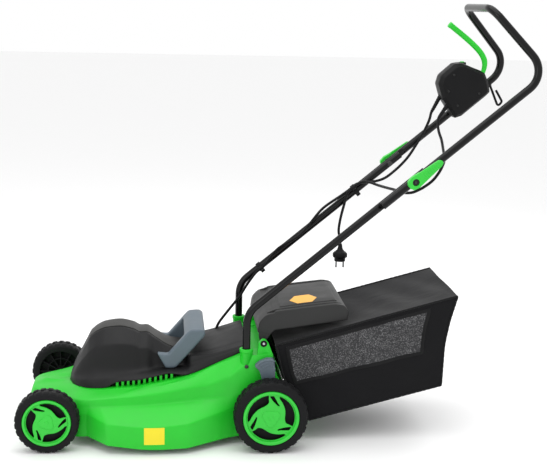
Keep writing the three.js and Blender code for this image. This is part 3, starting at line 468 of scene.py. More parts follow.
    @classmethod
    def box(cls, low: Point, high: Point, bevel: float = 0.0, segments: int = 2) -> Piece:
        """A block between two corners, with rounded edges where asked."""
        outline = [(low[0], low[2]), (high[0], low[2]), (high[0], high[2]), (low[0], high[2])]
        return cls.plate(outline, low[1], high[1], bevel, segments)

    @classmethod
    def turned(cls, profile: Sequence[Flat], centre: Point, axis: Vector, segments: int = 48,
            bevel: float = 0.0) -> Piece:
        """A body turned about an axis.

        Args:
            profile: (radius, height along the axis) points; it closes on itself or ends on the axis.
            centre: Where height 0 lies, in working millimetres.
            axis: The axis's direction.
            segments: Steps round it.
            bevel: Rounding of its edges in millimetres, or 0.

        Returns:
            The new piece.
        """
        axis = axis.normalized()
        first = axis.orthogonal().normalized()
        second = axis.cross(first)
        rows = []
        for radius, height in profile:
            middle = Vector(centre) + axis * height
            rows.append([tuple(middle + (first * math.cos(a) + second * math.sin(a)) * radius)
                for a in (2 * math.pi * k / segments for k in range(segments))])
        piece = cls.surface(rows, around=True)
        return cls.bevel(piece, bevel, 2) if bevel else piece

    @classmethod
    def rod(cls, start: Point, end: Point, radius: float, segments: int = 28, bevel: float = 0.6,
            end_radius: float | None = None) -> Piece:
        """A round bar or cone between two working points, with its rims eased."""
        a, b = Vector(start), Vector(end)
        far = radius if end_radius is None else end_radius
        length = (b - a).length
        profile = [(0, 0), (radius - bevel, 0), (radius, bevel), (far, length - bevel),
            (far - bevel, length), (0, length)]
        return cls.turned(profile, start, b - a, segments)

    @classmethod
    def tube(cls, line: Sequence[Sequence[float]], radius: float | Callable[[int], float],
            sides: int = 20) -> Piece:
        """A tube with filled ends, whose rings stand square to a line of working points.

        Args:
            line: Middles of the rings.
            radius: The tube's radius in millimetres, or a function that gives it at each ring.
            sides: Steps round it.

        Returns:
            The new piece.
        """
        middles = [Vector(p) for p in line]
        aims = [(b - a).normalized() for a, b in zip(middles, middles[1:])]
        aims = [aims[0], *[(a + b).normalized() for a, b in zip(aims, aims[1:])], aims[-1]]
        across = aims[0].orthogonal().normalized()
        rows = []
        for i, (middle, aim) in enumerate(zip(middles, aims)):
            across = (across - aim * across.dot(aim)).normalized()
            up = aim.cross(across)
            r = radius(i) if callable(radius) else radius
            rows.append([tuple(middle + (across * math.cos(a) + up * math.sin(a)) * r)
                for a in (2 * math.pi * k / sides for k in range(sides))])
        return cls.closed(rows)

    @classmethod
    def cut_sheet(cls, loops: Sequence[Sequence[Flat]], depth: float, bevel: float, place: Matrix) -> Piece:
        """A flat sheet with holes, made from closed outlines in its own plane.

        Args:
            loops: The rim and the holes, as (u, v) points in millimetres.
            depth: Thickness of the sheet in millimetres, the rounding included.
            bevel: Rounding of all its edges in millimetres.
            place: From the sheet's plane, in millimetres, to the frame, in metres.

        Returns:
            The new piece.
        """
        drawing = bpy.data.curves.new("outline", "CURVE")
        drawing.dimensions = "2D"
        drawing.fill_mode = "BOTH"
        drawing.extrude = depth / 2 - bevel
        drawing.bevel_depth = bevel
        drawing.bevel_resolution = 2
        drawing.offset = -bevel
        for loop in loops:
            spline = drawing.splines.new("POLY")
            spline.points.add(len(loop) - 1)
            spline.use_cyclic_u = True
            for point, (u, v) in zip(spline.points, loop):
                point.co = (u, v, 0, 1)
        piece = bpy.data.objects.new("outline", drawing)
        bpy.context.scene.collection.objects.link(piece)
        cls.only(piece)
        bpy.ops.object.convert(target="MESH")
        piece = bpy.context.active_object
        piece.data.transform(place)
        piece.matrix_world = Matrix.Identity(4)
        return cls.tidy(piece)

    @classmethod
    def copies(cls, piece: Piece, moves: Iterable[Matrix]) -> Piece:
        """Replaces a piece with copies of it, each moved by a matrix, joined into one mesh."""
        points = np.array([v.co for v in piece.data.vertices], float)
        faces = [tuple(f.vertices) for f in piece.data.polygons]
        all_points, all_faces = [], []
        for move in moves:
            turn = np.array(move, float)
            start = len(all_points) * len(points)
            all_faces += [tuple(start + i for i in face) for face in faces]
            all_points.append(points @ turn[:3, :3].T + turn[:3, 3])
        mesh = bpy.data.meshes.new(piece.name)
        mesh.from_pydata(np.concatenate(all_points).tolist(), [], all_faces)
        mesh.update()
        piece.data = mesh
        return piece

    @classmethod
    def join(cls, first: Piece, *others: Piece) -> Piece:
        """Joins pieces into the first one."""
        bpy.ops.object.select_all(action="DESELECT")
        for piece in (first, *others):
            piece.select_set(True)
        bpy.context.view_layer.objects.active = first
        bpy.ops.object.join()
        return bpy.context.active_object

    @classmethod
    def cut(cls, piece: Piece, *cutters: Piece) -> Piece:
        """Cuts other closed pieces out of one and removes them."""
        for cutter in cutters:
            cls.modify(piece, "BOOLEAN", operation="DIFFERENCE", object=cutter, solver="EXACT")
            bpy.data.objects.remove(cutter)
        return piece

    @staticmethod
    def drop(piece: Piece, x: float, y: float, lift: float = 0.0) -> Point:
        """The place straight above x and y where a piece's upper face lies, raised by a lift."""
        start = Bench.datum.at(x, y, 900.0)
        hit, place, _, _ = piece.ray_cast(start, Vector((0, 0, -1)))
        return (x, y, (place.z / MM if hit else 0.0) + lift)

    @classmethod
    def from_node(cls, node: str, bevel: float = 0.0) -> Piece:
        """A merged copy of a frame node's mesh, with its edges rounded where asked."""
        source = cls.nodes[node]
        piece = bpy.data.objects.new(node, source.data.copy())
        bpy.context.scene.collection.objects.link(piece)
        piece.data.materials.clear()
        piece.data.transform(source.matrix_world)
        cls.edit(piece, lambda: bpy.ops.mesh.remove_doubles(threshold=2e-6),
            lambda: bpy.ops.mesh.dissolve_limited(angle_limit=math.radians(0.6)))
        return cls.bevel(piece, bevel) if bevel else piece

    @classmethod
    def settle(cls, piece: Piece, name: str, look: Look, body: Body | str, replaces: Sequence[str] = (),
            angle: float | None = 35.0) -> Piece:
        """Names a finished piece, dresses it and puts it on its body.

        Args:
            piece: The finished piece.
            name: Its name.
            look: Its finish.
            body: The body on which it rides.
            replaces: Frame nodes that it stands for.
            angle: Edges sharper than this many degrees stay sharp; None leaves the shading alone.

        Returns:
            The piece.
        """
        if angle is not None:
            cls.smooth(piece, angle)
        piece.name = name
        piece.data.name = name
        piece.data.materials.clear()
        piece.data.materials.append(look.material())
        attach(piece, body.value if isinstance(body, Body) else body)
        if replaces:
            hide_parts(*replaces)
        LOG.info("%s: %d faces on %s", name, len(piece.data.polygons), body)
        return piece


# ---------------------------------------------------------------- finishes


class Tree:
    """A material's nodes, with short calls to add and join them."""

    def __init__(self, tree: bpy.types.NodeTree) -> None:
        """Starts from a node tree."""
        self.tree = tree

    def add(self, kind: str, **settings: object) -> bpy.types.Node:
        """A new node of this kind; inputs are set by their names, with spaces written as underscores."""
        node = self.tree.nodes.new(kind)
        for key, value in settings.items():
            if hasattr(node, key):
                setattr(node, key, value)
            else:
                node.inputs[key.replace("_", " ")].default_value = value
        return node

    @staticmethod
    def fix(node: bpy.types.Node, **values: object) -> None:
        """Sets inputs by their names, with spaces written as underscores."""
        for key, value in values.items():
            node.inputs[key.replace("_", " ")].default_value = value

    def link(self, start: bpy.types.NodeSocket, end: bpy.types.NodeSocket) -> None:
        """Joins two sockets."""
        self.tree.links.new(start, end)


class Effects:
    """Shader groups that more than one finish uses."""

    @staticmethod
    def _group(name: str, inputs: dict[str, float],
            outputs: dict[str, str]) -> tuple[Tree, bpy.types.Node, bpy.types.Node] | None:
        """Starts a group, or returns None where it is there already."""
        if name in bpy.data.node_groups:
            return None
        group = bpy.data.node_groups.new(name, "ShaderNodeTree")
        for key, value in inputs.items():
            socket = group.interface.new_socket(key, in_out="INPUT", socket_type="NodeSocketFloat")
            socket.default_value = value
        for key, kind in outputs.items():
            group.interface.new_socket(key, in_out="OUTPUT", socket_type=kind)
        tree = Tree(group)
        return tree, tree.add("NodeGroupInput"), tree.add("NodeGroupOutput")

    @classmethod
    def grain(cls) -> bpy.types.NodeTree:
        """Fine moulded grain: a height, and a mask of slow cloudiness over the surface."""
        made = cls._group("moulded_grain", {"Pitch": 0.8, "Cloud": 60.0}, {"Height": "NodeSocketFloat",
            "Cloudiness": "NodeSocketFloat"})
        if made:
            tree, given, result = made
            place = tree.add("ShaderNodeTexCoord")
            for pitch, noise_detail, output in (("Pitch", 3.0, "Height"), ("Cloud", 2.0, "Cloudiness")):
                scale = tree.add("ShaderNodeMath", operation="DIVIDE")
                scale.inputs[0].default_value = 1 / MM
                tree.link(given.outputs[pitch], scale.inputs[1])
                noise = tree.add("ShaderNodeTexNoise", Detail=noise_detail, Roughness=0.6)
                tree.link(place.outputs["Object"], noise.inputs["Vector"])
                tree.link(scale.outputs[0], noise.inputs["Scale"])
                tree.link(noise.outputs["Fac"], result.inputs[output])
        return bpy.data.node_groups["moulded_grain"]

    @classmethod
    def weave(cls) -> bpy.types.NodeTree:
        """Plain weave of crossing threads over the piece's own UV map, given out as a height."""
        made = cls._group("plain_weave", {"Threads": 600.0}, {"Height": "NodeSocketFloat"})
        if made:
            tree, given, result = made
            place = tree.add("ShaderNodeTexCoord")
            split = tree.add("ShaderNodeSeparateXYZ")
            tree.link(place.outputs["UV"], split.inputs[0])
            waves = []
            for axis in (0, 1):
                turn = tree.add("ShaderNodeMath", operation="MULTIPLY")
                tree.link(split.outputs[axis], turn.inputs[0])
                tree.link(given.outputs["Threads"], turn.inputs[1])
                wave = tree.add("ShaderNodeMath", operation="SINE")
                tree.link(turn.outputs[0], wave.inputs[0])
                waves.append(wave)
            both = tree.add("ShaderNodeMath", operation="MULTIPLY")
            tree.link(waves[0].outputs[0], both.inputs[0])
            tree.link(waves[1].outputs[0], both.inputs[1])
            lift = tree.add("ShaderNodeMath", operation="MULTIPLY_ADD")
            lift.inputs[1].default_value = 0.5
            lift.inputs[2].default_value = 0.5
            tree.link(both.outputs[0], lift.inputs[0])
            tree.link(lift.outputs[0], result.inputs["Height"])
        return bpy.data.node_groups["plain_weave"]


@dataclass(frozen=True)
class Look:
    """A finish: what it looks like, and the record's slot that it stands for."""

    name: str
    slot: str
    colour: tuple[float, float, float]
    roughness: float = 0.5
    metallic: float = 0.0
    grain: float = 0.8
    depth: float = 0.12
    uneven: float = 0.12
    sheen: float = 0.0
    shine: float = 0.5

    def material(self) -> bpy.types.Material:
        """The material, made once."""
        if self.name in bpy.data.materials:
            return bpy.data.materials[self.name]
        made = bpy.data.materials.new(self.name)
        made.use_nodes = True
        tree = Tree(made.node_tree)
        shader = made.node_tree.nodes["Principled BSDF"]
        tree.fix(shader, Metallic=self.metallic, Specular_IOR_Level=self.shine, Sheen_Weight=self.sheen,
            Sheen_Roughness=0.4)
        self.dress(tree, shader)
        return made

    def dress(self, tree: Tree, shader: bpy.types.Node) -> None:
        """Grain in the surface, and slow cloudiness in its colour and gloss."""
        grain = tree.add("ShaderNodeGroup")
        grain.node_tree = Effects.grain()
        grain.inputs["Pitch"].default_value = self.grain
        self.tint(tree, shader, grain.outputs["Cloudiness"])
        bump = tree.add("ShaderNodeBump", Strength=0.5, Distance=self.depth * MM)
        tree.link(grain.outputs["Height"], bump.inputs["Height"])
        tree.link(bump.outputs["Normal"], shader.inputs["Normal"])

    def tint(self, tree: Tree, shader: bpy.types.Node, mask: bpy.types.NodeSocket) -> None:
        """Lets a mask move the colour and the roughness a little to both sides."""
        ramp = tree.add("ShaderNodeValToRGB")
        ramp.color_ramp.elements[0].position, ramp.color_ramp.elements[1].position = 0.3, 0.7
        ramp.color_ramp.elements[0].color = (*[c * (1 - self.uneven) for c in self.colour], 1)
        ramp.color_ramp.elements[1].color = (*[min(1.0, c * (1 + self.uneven)) for c in self.colour], 1)
        tree.link(mask, ramp.inputs["Fac"])
        tree.link(ramp.outputs["Color"], shader.inputs["Base Color"])
        spread = tree.add("ShaderNodeMapRange", From_Min=0.3, From_Max=0.7, To_Min=self.roughness * 0.88,
            To_Max=self.roughness * 1.12)
        tree.link(mask, spread.inputs["Value"])
        tree.link(spread.outputs["Result"], shader.inputs["Roughness"])


@dataclass(frozen=True)
class TurnedMetal(Look):
    """Metal with the fine lines that turning or rolling leaves along one axis."""

    stretch: Point = (1.0, 12.0, 1.0)

    def dress(self, tree: Tree, shader: bpy.types.Node) -> None:
        """Lines in the surface, and cloudiness in its colour and gloss."""
        place = tree.add("ShaderNodeTexCoord")
        turn = tree.add("ShaderNodeMapping", Scale=self.stretch)
        lines = tree.add("ShaderNodeTexNoise", Scale=1 / (self.grain * MM) / 12, Detail=4.0)
        tree.link(place.outputs["Object"], turn.inputs["Vector"])
        tree.link(turn.outputs["Vector"], lines.inputs["Vector"])
        self.tint(tree, shader, lines.outputs["Fac"])
        bump = tree.add("ShaderNodeBump", Strength=0.3, Distance=self.depth * MM)
        tree.link(lines.outputs["Fac"], bump.inputs["Height"])
        tree.link(bump.outputs["Normal"], shader.inputs["Normal"])


@dataclass(frozen=True)
class Woven(Look):
    """Coated polyester: a plain weave with soft creases and a slight sheen."""

    threads: float = 1200.0

    def dress(self, tree: Tree, shader: bpy.types.Node) -> None:
        """Weave and creases in the surface, and painted shade that darkens the creases' hollows and lightens
        their crests.
        """
        weave = tree.add("ShaderNodeGroup")
        weave.node_tree = Effects.weave()
        weave.inputs["Threads"].default_value = self.threads
        place = tree.add("ShaderNodeTexCoord")
        creases_and_shade = tree.add("ShaderNodeTexNoise", Scale=9.0, Detail=5.0, Roughness=0.55, Distortion=0.6)
        tree.link(place.outputs["Object"], creases_and_shade.inputs["Vector"])
        # The crease height also sets the colour: painted shade in the hollows, painted light on the crests.
        self.tint(tree, shader, creases_and_shade.outputs["Fac"])
        fine = tree.add("ShaderNodeBump", Strength=0.6, Distance=0.25 * MM)
        wide = tree.add("ShaderNodeBump", Strength=0.55, Distance=5.0 * MM)
        tree.link(creases_and_shade.outputs["Fac"], wide.inputs["Height"])
        tree.link(weave.outputs["Height"], fine.inputs["Height"])
        tree.link(wide.outputs["Normal"], fine.inputs["Normal"])
        tree.link(fine.outputs["Normal"], shader.inputs["Normal"])


@dataclass(frozen=True)
class Netting(Look):
    """Spacer net of grey and black yarn, seen as salt and pepper from afar."""

    light: tuple[float, float, float] = (0.20, 0.20, 0.205)

    def dress(self, tree: Tree, shader: bpy.types.Node) -> None:
        """Light knots over dark holes, broken up so that no two rows look alike."""
        place = tree.add("ShaderNodeTexCoord")
        knots = tree.add("ShaderNodeTexVoronoi", Scale=1 / (3.0 * MM), Randomness=0.8)
        cloud = tree.add("ShaderNodeTexNoise", Scale=1 / (14 * MM), Detail=7.0, Roughness=0.8)
        for texture in (knots, cloud):
            tree.link(place.outputs["Object"], texture.inputs["Vector"])
        mix = tree.add("ShaderNodeMath", operation="SUBTRACT")
        tree.link(cloud.outputs["Fac"], mix.inputs[0])
        tree.link(knots.outputs["Distance"], mix.inputs[1])
        ramp = tree.add("ShaderNodeValToRGB")
        ramp.color_ramp.elements[0].position, ramp.color_ramp.elements[1].position = 0.0, 0.42
        ramp.color_ramp.elements[0].color = (*self.colour, 1)
        ramp.color_ramp.elements[1].color = (*self.light, 1)
        middle = ramp.color_ramp.elements.new(0.17)
        middle.color = (*[(a + b) / 2.6 for a, b in zip(self.colour, self.light)], 1)
        tree.link(mix.outputs[0], ramp.inputs["Fac"])
        tree.link(ramp.outputs["Color"], shader.inputs["Base Color"])
        bump = tree.add("ShaderNodeBump", Strength=0.8, Distance=1.2 * MM)
        tree.link(mix.outputs[0], bump.inputs["Height"])
        tree.link(bump.outputs["Normal"], shader.inputs["Normal"])
        shader.inputs["Roughness"].default_value = self.roughness


class Looks:
    """Every finish of the mower."""

    GREEN = Look("green_moulding", "green_plastic", (0.010, 0.50, 0.018), 0.42, grain=1.1, depth=0.05,
        uneven=0.04, shine=0.42)
    GREEN_CAP = Look("bright_green_cap", "green_plastic", (0.02, 0.52, 0.032), 0.38, grain=0.9, depth=0.04,
        uneven=0.04)
    HOOD = Look("hood_moulding", "hood_plastic", (0.0075, 0.0075, 0.008), 0.5, grain=0.9, depth=0.14,
        uneven=0.1, shine=0.24)
    HOOD_RIDGE = Look("hood_ridge_moulding", "hood_plastic", (0.022, 0.0215, 0.02), 0.5, grain=0.9,
        depth=0.16, shine=0.3)
    GREY = Look("slate_moulding", "grey_plastic", (0.085, 0.115, 0.14), 0.46, grain=1.0, depth=0.08,
        uneven=0.06)
    BLACK = Look("black_moulding", "black_plastic", (0.0055, 0.0055, 0.006), 0.46, grain=0.8, depth=0.12,
        shine=0.16)
    FLAP = Look("flap_moulding", "flap_plastic", (0.024, 0.0242, 0.024), 0.48, grain=1.0, depth=0.12,
        uneven=0.08, shine=0.3)
    TYRE = Look("tyre_moulding", "tyre_plastic", (0.006, 0.0062, 0.0068), 0.6, grain=1.3, depth=0.2,
        uneven=0.2, shine=0.16)
    PAINT = Look("black_powder_coat", "black_tube", (0.0022, 0.0022, 0.0024), 0.16, grain=2.2, depth=0.03,
        shine=0.26)
    STEEL = TurnedMetal("zinc_plated_steel", "steel", (0.46, 0.47, 0.48), 0.34, 1.0, grain=0.5, depth=0.03)
    DARK_STEEL = Look("blackened_steel", "blackened_steel", (0.014, 0.014, 0.016), 0.42, 0.5, grain=0.7,
        depth=0.06)
    ALUMINIUM = TurnedMetal("turned_aluminium", "aluminium", (0.6, 0.61, 0.62), 0.36, 1.0, grain=0.6,
        depth=0.04)
    COPPER = TurnedMetal("wound_copper", "copper", (0.5, 0.24, 0.1), 0.38, 1.0, grain=1.0, depth=0.3)
    RUBBER = Look("cable_rubber", "rubber", (0.0045, 0.0045, 0.005), 0.5, grain=1.0, depth=0.08, shine=0.16)
    # For the cloth and the binding, uneven sets how strongly painted shade darkens the creases.
    CLOTH = Woven("bag_polyester", "bag_fabric", (0.0048, 0.0048, 0.0056), 0.75, uneven=0.3, sheen=0.12,
        shine=0.15)
    BINDING = Woven("bag_binding", "bag_fabric", (0.003, 0.003, 0.0036), 0.8, uneven=0.2, sheen=0.1,
        shine=0.3)
    NET = Netting("bag_netting", "bag_fabric", (0.03, 0.03, 0.032), 0.8, sheen=0.1, shine=0.3)
    YELLOW = Look("yellow_label", "green_plastic", (0.80, 0.66, 0.01), 0.4, grain=2.0, depth=0.01,
        uneven=0.02)
    ORANGE = Look("orange_label", "flap_plastic", (0.84, 0.42, 0.05), 0.4, grain=2.0, depth=0.01, uneven=0.03)


# ---------------------------------------------------------------- stage


@dataclass(frozen=True)
class Studio:
    """Pale floor, soft light and the camera."""

    eye: Point = (273.9, -2800.8, 1057.9)
    heading: float = 0.09685
    tilt: float = 0.20157
    roll: float = 0.02245
    lens: float = 75.59
    sky: float = 1.0

    def camera(self) -> None:
        """The camera, level with the mower's side and a little above it."""
        data = bpy.data.cameras.new("side_view")
        data.sensor_width = 36.0
        data.lens = self.lens
        data.clip_end = 50.0
        camera = bpy.data.objects.new("side_view", data)
        bpy.context.scene.collection.objects.link(camera)
        sin_h, cos_h = math.sin(self.heading), math.cos(self.heading)
        forward = Vector((sin_h * math.cos(self.tilt), cos_h * math.cos(self.tilt), -math.sin(self.tilt)))
        right = forward.cross(UP).normalized()
        up = right.cross(forward)
        turned_right = right * math.cos(self.roll) + up * math.sin(self.roll)
        turned_up = up * math.cos(self.roll) - right * math.sin(self.roll)
        camera.matrix_world = axes(turned_right, turned_up, -forward, Bench.datum.at(*self.eye))
        bpy.context.scene.camera = camera

    def floor(self) -> None:
        """A pale floor."""
        bpy.ops.object.select_all(action="DESELECT")
        bpy.ops.mesh.primitive_plane_add(size=40.0)
        floor = bpy.context.active_object
        floor.name = "floor"
        pale = bpy.data.materials.new("pale_floor")
        pale.use_nodes = True
        shader = pale.node_tree.nodes["Principled BSDF"]
        Tree.fix(shader, Base_Color=(0.93, 0.93, 0.93, 1), Roughness=0.9)
        floor.data.materials.append(pale)
        floor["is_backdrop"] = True

    def light(self) -> None:
        """A bright sky and large soft lamps."""
        world = bpy.data.worlds.new("studio")
        world.use_nodes = True
        Tree.fix(world.node_tree.nodes["Background"], Color=(1, 1, 1, 1), Strength=self.sky)
        bpy.context.scene.world = world
        bpy.context.scene.view_settings.view_transform = "Standard"
        lamps = {"overhead": ((300, -300, 2600), (300, 0, 200), 2.6, 30.0),
            "front_left": ((-1500, -2300, 1700), (300, 0, 300), 1.6, 12.0), "rear": ((1900, 1500, 1900),
            (500, 0, 400), 1.4, 12.0),}
        for name, (place, aim, size, power) in lamps.items():
            data = bpy.data.lights.new(name, "AREA")
            data.size = size
            data.energy = power
            lamp = bpy.data.objects.new(name, data)
            bpy.context.scene.collection.objects.link(lamp)
            lamp.location = Bench.datum.at(*place)
            towards = Bench.datum.at(*aim) - lamp.location
            lamp.rotation_euler = towards.to_track_quat("-Z", "Y").to_euler()

    def build(self) -> None:
        """Sets the stage."""
        self.camera()
        self.floor()
        self.light()


# ---------------------------------------------------------------- cables


@dataclass
class Cables:
    """The mains lead with its plug, the motor cable, and what holds them."""

    plan: HandlePlan = field(default_factory=HandlePlan)
    thickness: float = 7.0
    clip_high: float = -114.0
    clip_low: float = -436.0
    plug_top: Point = (735.5, 128.0, 436.0)

    def motor_route(self) -> list[Point]:
        """From the switch box down the right-hand tube and into the hood."""
        at = self.plan.along
        high, low = self.clip_high, self.clip_low
        return [(965.7, 128, 792.4), (962, 128.6, 785), at(150, 26, 136), at(120, 8, 144), at(85, -6, 145),
            at(50, -16, 138), at(25, -20, 135), at(0, -22, 134.6), at(-34, -21, 134.6), at(-60, -11, 134.4),
            at(-82, 4, 134.6), at(high + 12, 13.5, 137), at(high - 12, 13.5, 137), at(-150, 14.5, 138),
            at(-211, 18.5, 138), at(-257, 10, 135.4), at(-300, 2, 134.8), at(-370, 10, 135.4),
            at(low + 12, -2, 134.8), at(low - 12, -2, 134.8), (494, 134.6, 328), (472, 134.2, 292),
            (449, 128, 264), (430, 114, 244), (418, 100, 232), (412, 95, 222), (409, 93, 212),
            (408, 92, 204)]

    def mains_route(self) -> list[Point]:
        """From the switch box past the left fold bolt to the upper clip, and down to the plug."""
        at, high = self.plan.along, self.clip_high
        return [(978.4, 106, 775.6), (975, 104.5, 769.5), (973, 96, 756), (972, 76, 740), (972, 45, 724),
            (966, 0, 708), (957, -50, 698), (947, -95, 691), (938, -122, 683), (928, -132, 668),
            (912, -134.5, 647), (890, -134.5, 630), (880, -133.4, 624.2), (866, -129, 617),
            (850, -106, 612), (839, -52, 610), (828, 8, 606), (816, 60, 604), (802, 98, 605),
            (789, 118, 603), at(high + 13, 13.5, 127.6), at(high - 11, 13.5, 128), at(high - 22, 11, 128),
            (743, 128, 545), (733, 128, 500), (730, 128, 470), (733.5, 128, 452), (735.4, 128, 443),
            (735.5, 128, 436.8)]

    def relief(self, start: Point, end: Point, tail: Point, name: str, node: str) -> Piece:
        """A tapered, ribbed sleeve where a cable leaves the switch box.

        Args:
            start: Where the sleeve begins, inside the housing.
            end: Where its stiff part ends.
            tail: A point further along the cable, towards which it tapers.
            name: The piece's name.
            node: The frame node that it replaces.

        Returns:
            The sleeve.
        """
        line = [between(start, end, k / 24) for k in range(25)]
        line += [between(end, tail, k / 6) for k in range(1, 7)]
        last = len(line) - 1
        ribs = [5.3 - 1.3 * i / last + (0.45 if i % 4 in (0, 1) and i < last - 2 else 0.0)
            for i in range(last + 1)]
        sleeve = Bench.tube(line, lambda i: ribs[i], 20)
        return Bench.settle(sleeve, name, Looks.RUBBER, Body.UPPER_HANDLE, [node])

    def motor_cable(self) -> None:
        """The cable that the handle and the deck hold all the way."""
        line = evenly(smooth_line(self.motor_route(), 4.0), 5.0)
        cable = Bench.tube(line, self.thickness / 2, 14)
        Bench.smooth(cable, 60)
        self.dress_bending(cable, "motor_cable", ["motor_cable_upper", "motor_cable_lower"])

    def dress_bending(self, cable: Piece, name: str, nodes: Sequence[str]) -> None:
        """Names a cable, gives it its finish and hides the frame nodes that it stands for."""
        cable.name = name
        cable.data.name = name
        cable.data.materials.clear()
        cable.data.materials.append(Looks.RUBBER.material())
        Bench.datum.at(*self.plan.along(-75, -10, 0))
        Bench.datum.at(*self.plan.along(45, -10, 0))
        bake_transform(cable)
        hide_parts(*nodes)

    def plug(self) -> Piece:
        """The plug, with a waisted grip and two round pins."""
        x, y, top = self.plug_top
        down = Vector((0, 0, -1))
        body = Bench.turned([(0, 0), (4.6, 0), (5.4, 3), (6.0, 9), (8.2, 15), (12.5, 19.5), (15.6, 21.5),
            (17.0, 24), (17.0, 33), (16.2, 36.5), (14.6, 38), (14.6, 45), (13.6, 46), (0, 46)], (x, y, top),
            down, 36)
        grips = [Bench.box((x - 18.3, y + k * 6 - 1.6, top - 35), (x + 18.3, y + k * 6 + 1.6, top - 24),
            0.8) for k in (-1, 0, 1)]
        Bench.settle(Bench.join(body, *grips), "mains_plug_body", Looks.RUBBER, Body.DECK, ["mains_plug"])
        pins = [Bench.turned([(0, 44), (2.4, 44), (2.4, 61.5), (1.4, 63.6), (0, 64)], (x + k * 9.5, y, top),
            down, 18) for k in (-1, 1)]
        Bench.settle(Bench.join(*pins), "mains_plug_pins", Looks.STEEL, Body.DECK)
        return bpy.data.objects["mains_plug_body"]

    def mains_lead(self) -> None:
        """The free lead at its real length."""
        line = evenly(smooth_line(self.mains_route(), 4.0), 5.0)
        lead = Bench.tube(line, self.thickness / 2, 14)
        Bench.smooth(lead, 60)
        plug = self.plug()
        sleeve = self.relief((997, 106, 804.9), (979.6, 106, 777.4), (975.6, 104.9, 770.8), "mains_relief",
            "mains_cable_gland")
        self.dress_bending(lead, "mains_lead", ["mains_cable_upper", "mains_cable_lower"])
        frame_line = [tuple(Bench.datum.at(*point)) for point in line]

    def clip(self, s: float, cables: Sequence[Flat], name: str) -> None:
        """A strap round the tube with an eye for each cable, and a snap at its lower side."""
        plan = self.plan
        aim = Vector((math.cos(plan.slope), 0, math.sin(plan.slope)))

        def ring(n: float, y: float, inner: float, outer: float) -> Piece:
            """One eye of the clip."""
            profile = [(inner, -6), (outer - 0.8, -6), (outer, -5.2), (outer, 5.2), (outer - 0.8, 6),
                (inner, 6), (inner, -6)]
            return Bench.turned(profile, plan.along(s, n, y), aim, 36)

        rings = [ring(0, plan.lower_y, plan.tube + 0.2, plan.tube + 2.9)]
        rings += [ring(n, y, self.thickness / 2 + 0.15, self.thickness / 2 + 2.4) for n, y in cables]
        tab = Bench.box((-5.5, plan.lower_y - 3, -plan.tube - 8), (5.5, plan.lower_y + 3, -plan.tube - 1.5),
            1.2)
        self.onto_handle(tab, s)
        Bench.settle(Bench.join(*rings, tab), name, Looks.BLACK, Body.DECK, [name])

    def onto_handle(self, piece: Piece, s: float) -> None:
        """Turns a piece made upright at the working origin to the handle's slope at s."""
        origin = Bench.datum.at(0, 0, 0)
        goal = Bench.datum.at(*self.plan.along(s, 0, 0))
        piece.data.transform(Matrix.Translation(goal) @ Matrix.Rotation(-self.plan.slope, 4, "Y")
                             @ Matrix.Translation(-origin))

    def hook(self) -> None:
        """The strain hook for an extension lead, on the right leg."""
        plan = self.plan
        y = plan.leg_y
        aim = Vector((math.cos(plan.slope), 0, math.sin(plan.slope)))
        collar = Bench.turned([(plan.tube + 0.2, -6), (plan.tube + 2.6, -6), (plan.tube + 2.6, 6),
            (plan.tube + 0.2, 6), (plan.tube + 0.2, -6)], plan.along(329, 0, y), aim, 36, 0.5)
        line = rounded([(1123, y, 853), (1147, y, 799), (1157, y, 813), (1139, y, 842)], [5, 5], 8)
        Bench.settle(Bench.join(collar, Bench.tube(evenly(line, 1.5), 3.1, 14)), "cable_hook_loop",
            Looks.BLACK, Body.UPPER_HANDLE, ["cable_hook"])

    def build(self) -> None:
        """Makes the cables and what holds them."""
        self.mains_lead()
        self.motor_cable()
        self.relief((984, 128, 829), (966.6, 128, 794.2), (962.7, 128.4, 786.6), "motor_relief",
            "motor_cable_gland")
        self.clip(self.clip_high, [(13.5, 137), (13.5, 128)], "cable_clip_upper")
        self.clip(self.clip_low, [(-2, 134.8)], "cable_clip_lower")
        self.hook()


# ---------------------------------------------------------------- deck and hood


